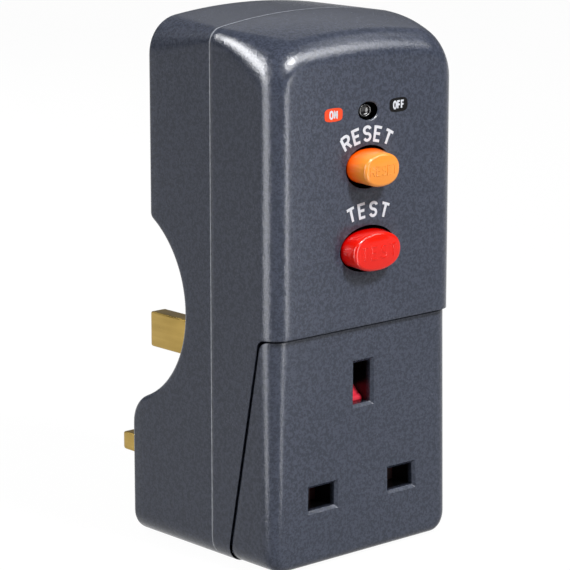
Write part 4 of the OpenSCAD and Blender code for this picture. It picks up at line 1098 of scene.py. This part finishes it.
# circles of the wire's size round a helix that climbs evenly, drawn to a point at each end
def coilRows(radius, length, turns, wire):
    turn = np.linspace(0, 2 * np.pi * turns, int(turns * springForm["steps"]) + 1)
    thick = np.pad(np.full(len(turn), wire / 2), 1)[:, None]
    turn = np.pad(turn, 1, mode="edge")[:, None]
    ring = np.linspace(0, 2 * np.pi, springForm["sides"], endpoint=False)
    reach = radius - wire / 2 + thick * np.cos(ring)
    climb = wire / 2 + (length - wire) * turn / turn.max() + thick * np.sin(ring)
    return pointGrid(reach * np.cos(turn), reach * np.sin(turn), climb)


# a coil at each place, a little clear of its seats, from the fixed end towards the moving one
def springSheet(s):
    fixed, free = s["ends"]
    clear = springForm["clear"]
    rows = coilRows(s["radius"] - clear, abs(free - fixed) - 2 * clear, s["turns"], springForm["wire"])
    rows[..., 2] = fixed + np.sign(free - fixed) * (rows[..., 2] + clear)
    sheet = Sheet()
    for x, other in s["places"]:
        coil = rows + (x, other, 0)
        sheet.grid(coil[..., [0, 2, 1]] if s["axis"] == 1 else coil, loop=True)
    return sheet


for name, s in springs.items():
    piece = makePiece(
        name, springSheet(s), "case", "spring_steel", stands=[s["node"]], sharp=springForm["sharp"],
    )
    along = np.eye(3)[s["axis"]]
    tuple(along * s["ends"][0] * mm)
    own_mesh(piece)
print("springs done")


# the other nodes keep their solids and take their slot's finish

solids = {
    "flag_black": ["indicator_flag"], "foil_orange": ["flag_foil"], "spring_steel": ["flag_pin"],
    "brass": [
        "test_bridge", "test_contacts", "live_bridge", "neutral_bridge", "live_line_bar", "neutral_line_bar",
        "live_load_strap", "neutral_load_strap", "live_contact", "neutral_contact", "earth_contact",
        "earth_strap",
    ],
    "frame_black": ["mech_frame", "contact_base", "contact_carrier", "socket_block"],
    "core_steel": ["armature", "magnet_yoke", "sensor_core"],
    "bobbin_white": ["coil_bobbin"], "copper_wire": ["hold_coil", "sensor_winding"],
    "shutter_red": ["shutter"], "board_green": ["circuit_board"],
    "chip_black": ["control_chip", "trip_thyristor"], "varistor_blue": ["varistor"],
    "capacitor_ochre": ["filter_capacitor"], "resistor_tan": ["test_resistor"],
    "screw_steel": ["case_screws", "frame_screws", "block_screws"], "label_grey": ["rear_label"],
}
for slot, names in solids.items():
    for name in names:
        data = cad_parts[name].data
        data.materials.clear()
        data.materials.append(finishes[slot])
print("solids dressed:", sum(map(len, solids.values())))


# floor, light and camera

stage = {
    "floorZ": -14.5, "reach": 6000.0, "pale": (160, 160, 160), "white": 0.92, "glow": 1.05, "ambient": 0.3,
    "backdrop": 0.18, "cells": 9, "rough": 0.9,
}
# each lamp: place, aim, size and power; the soft ones light the surfaces, the others show in the gloss alone
lamps = {
    "frontSoft": ((60, -500, 590), (0, -45, 50), (110, 110), 6.1),
    "leftSoft": ((-500, -100, 430), (-25, -25, 50), (250, 250), 1.1),
    "rearSoft": ((60, 620, 330), (0, 0, 40), (300, 300), 3.0),
    "leftStrip": ((-195, -38, 49), (-25, -50, 45), (100, 122), 0.46),
    "rightStrip": ((25, -207, 49), (-20, -45, 45), (24, 122), 0.22),
    "rightGlow": ((58, -196, 49), (-20, -45, 45), (40, 122), 0.08),
    "leftFloor": ((-135, -40, -14.3), (-135, -39.5, 86), (120, 34), 0.12),
    "rightFloor": ((9, -151, -14.3), (9.1, -151.5, 86), (10, 120), 0.06),
    "topFront": ((-11, -364, 405), (-20, -44, 90), (110, 110), 1.5),
    "topRight": ((151, -341, 382), (-20, -44, 90), (260, 150), 2.2),
    "topFar": ((268, -300, 315), (-20, -44, 90), (150, 150), 0.95),
    "seamGlow": ((288, -117, 416), (0, -36, 92), (120, 120), 0.16),
    "rearHigh": ((384, 324, 377), (0, -36, 95), (300, 200), 0.08),
    "leftHigh": ((-224, 162, 366), (-24, -38, 86), (140, 140), 1.6),
    "leftMid": ((-296, 106, 342), (-24, -38, 86), (190, 190), 3.0),
    "leftLow": ((-356, 34, 286), (-24, -38, 86), (180, 180), 2.6),
    "leftEnd": ((-404, -78, 206), (-24, -38, 86), (120, 120), 1.0),
}
softLamps = ["frontSoft", "leftSoft", "rearSoft"]
dullLamps = ["rearSoft"]  # not seen in the gloss
camera = {
    "at": (-364.02, -428.5, 157.69), "yaw": -41.732, "pitch": 12.272, "focal": 2666.3, "pixels": 570,
    "sensor": 36.0, "clip": (0.05, 20.0),
}


# rays that see floor and sky themselves, the greatest of three flags: camera, mirror and glass rays
def seenRays(finish):
    kinds = ("Is Camera Ray", "Is Glossy Ray", "Is Transmission Ray")
    direct, glossy, glass = (finish.add("ShaderNodeLightPath", out=k) for k in kinds)
    return direct.sum("MAXIMUM", direct, glossy.sum("MAXIMUM", glossy, glass))


# a flat sheet that is mostly glow where it is seen, and plain paper where it sends light on
def makeFloor():
    corner = np.linspace(-1, 1, stage["cells"]) * stage["reach"]
    x, y = np.meshgrid(corner, corner)
    floor = newObject("floor", Sheet().grid(pointGrid(x, y, stage["floorZ"])).mesh("floor"))
    paper = Finish("floorPaper", {"Base Color": linear(*stage["pale"]), "Roughness": stage["rough"]})
    glow = paper.add("ShaderNodeEmission", None, {"Color": (1, 1, 1, 1), "Strength": stage["glow"]})
    body = Value(paper, paper.shader.outputs[0])
    mixed = paper.add("ShaderNodeMixShader", None, {0: seenRays(paper) * stage["white"], 1: body, 2: glow})
    paper.feed(paper.tree.nodes["Material Output"], {"Surface": mixed})
    floor.data.materials.append(paper.material)


# the sky: one strength where it is seen, another where it lights the part
class WorldPaint(Finish):
    def __init__(self, world):
        world.use_nodes = True
        self.tree = world.node_tree
        strength = seenRays(self) * (stage["backdrop"] - stage["ambient"]) + stage["ambient"]
        self.feed(self.tree.nodes["Background"], {"Color": (1, 1, 1, 1), "Strength": strength})


# an area lamp that looks from its place to its aim
def makeLamp(name, at, aim, size, power):
    data = bpy.data.lights.new(name, "AREA")
    setAll(data, shape="RECTANGLE", size=size[0] * mm, size_y=size[1] * mm, energy=power)
    setAll(
        newObject(name, data), location=Vector(at) * mm, visible_camera=False,
        visible_diffuse=name in softLamps, visible_glossy=name not in dullLamps,
        rotation_euler=(Vector(aim) - Vector(at)).to_track_quat("-Z", "Y").to_euler(),
    )


# a pinhole of the focal length in pixels, turned by yaw about Z and then down by pitch
def makeCamera(c):
    data = bpy.data.cameras.new("camera")
    data.sensor_width = c["sensor"]
    data.lens = c["focal"] * c["sensor"] / c["pixels"]
    data.clip_start, data.clip_end = c["clip"]
    turn = Euler((np.radians(90 - c["pitch"]), 0, np.radians(c["yaw"])))
    eye = newObject("camera", data)
    eye.matrix_world = Matrix.LocRotScale(Vector(c["at"]) * mm, turn, None)
    bpy.context.scene.camera = eye


scene = bpy.context.scene
scene.world = bpy.data.worlds.new("studio")
WorldPaint(scene.world)
makeFloor()
for name, lamp in lamps.items():
    makeLamp(name, *lamp)
makeCamera(camera)
scene.view_settings.view_transform = "Standard"
print("stage done")
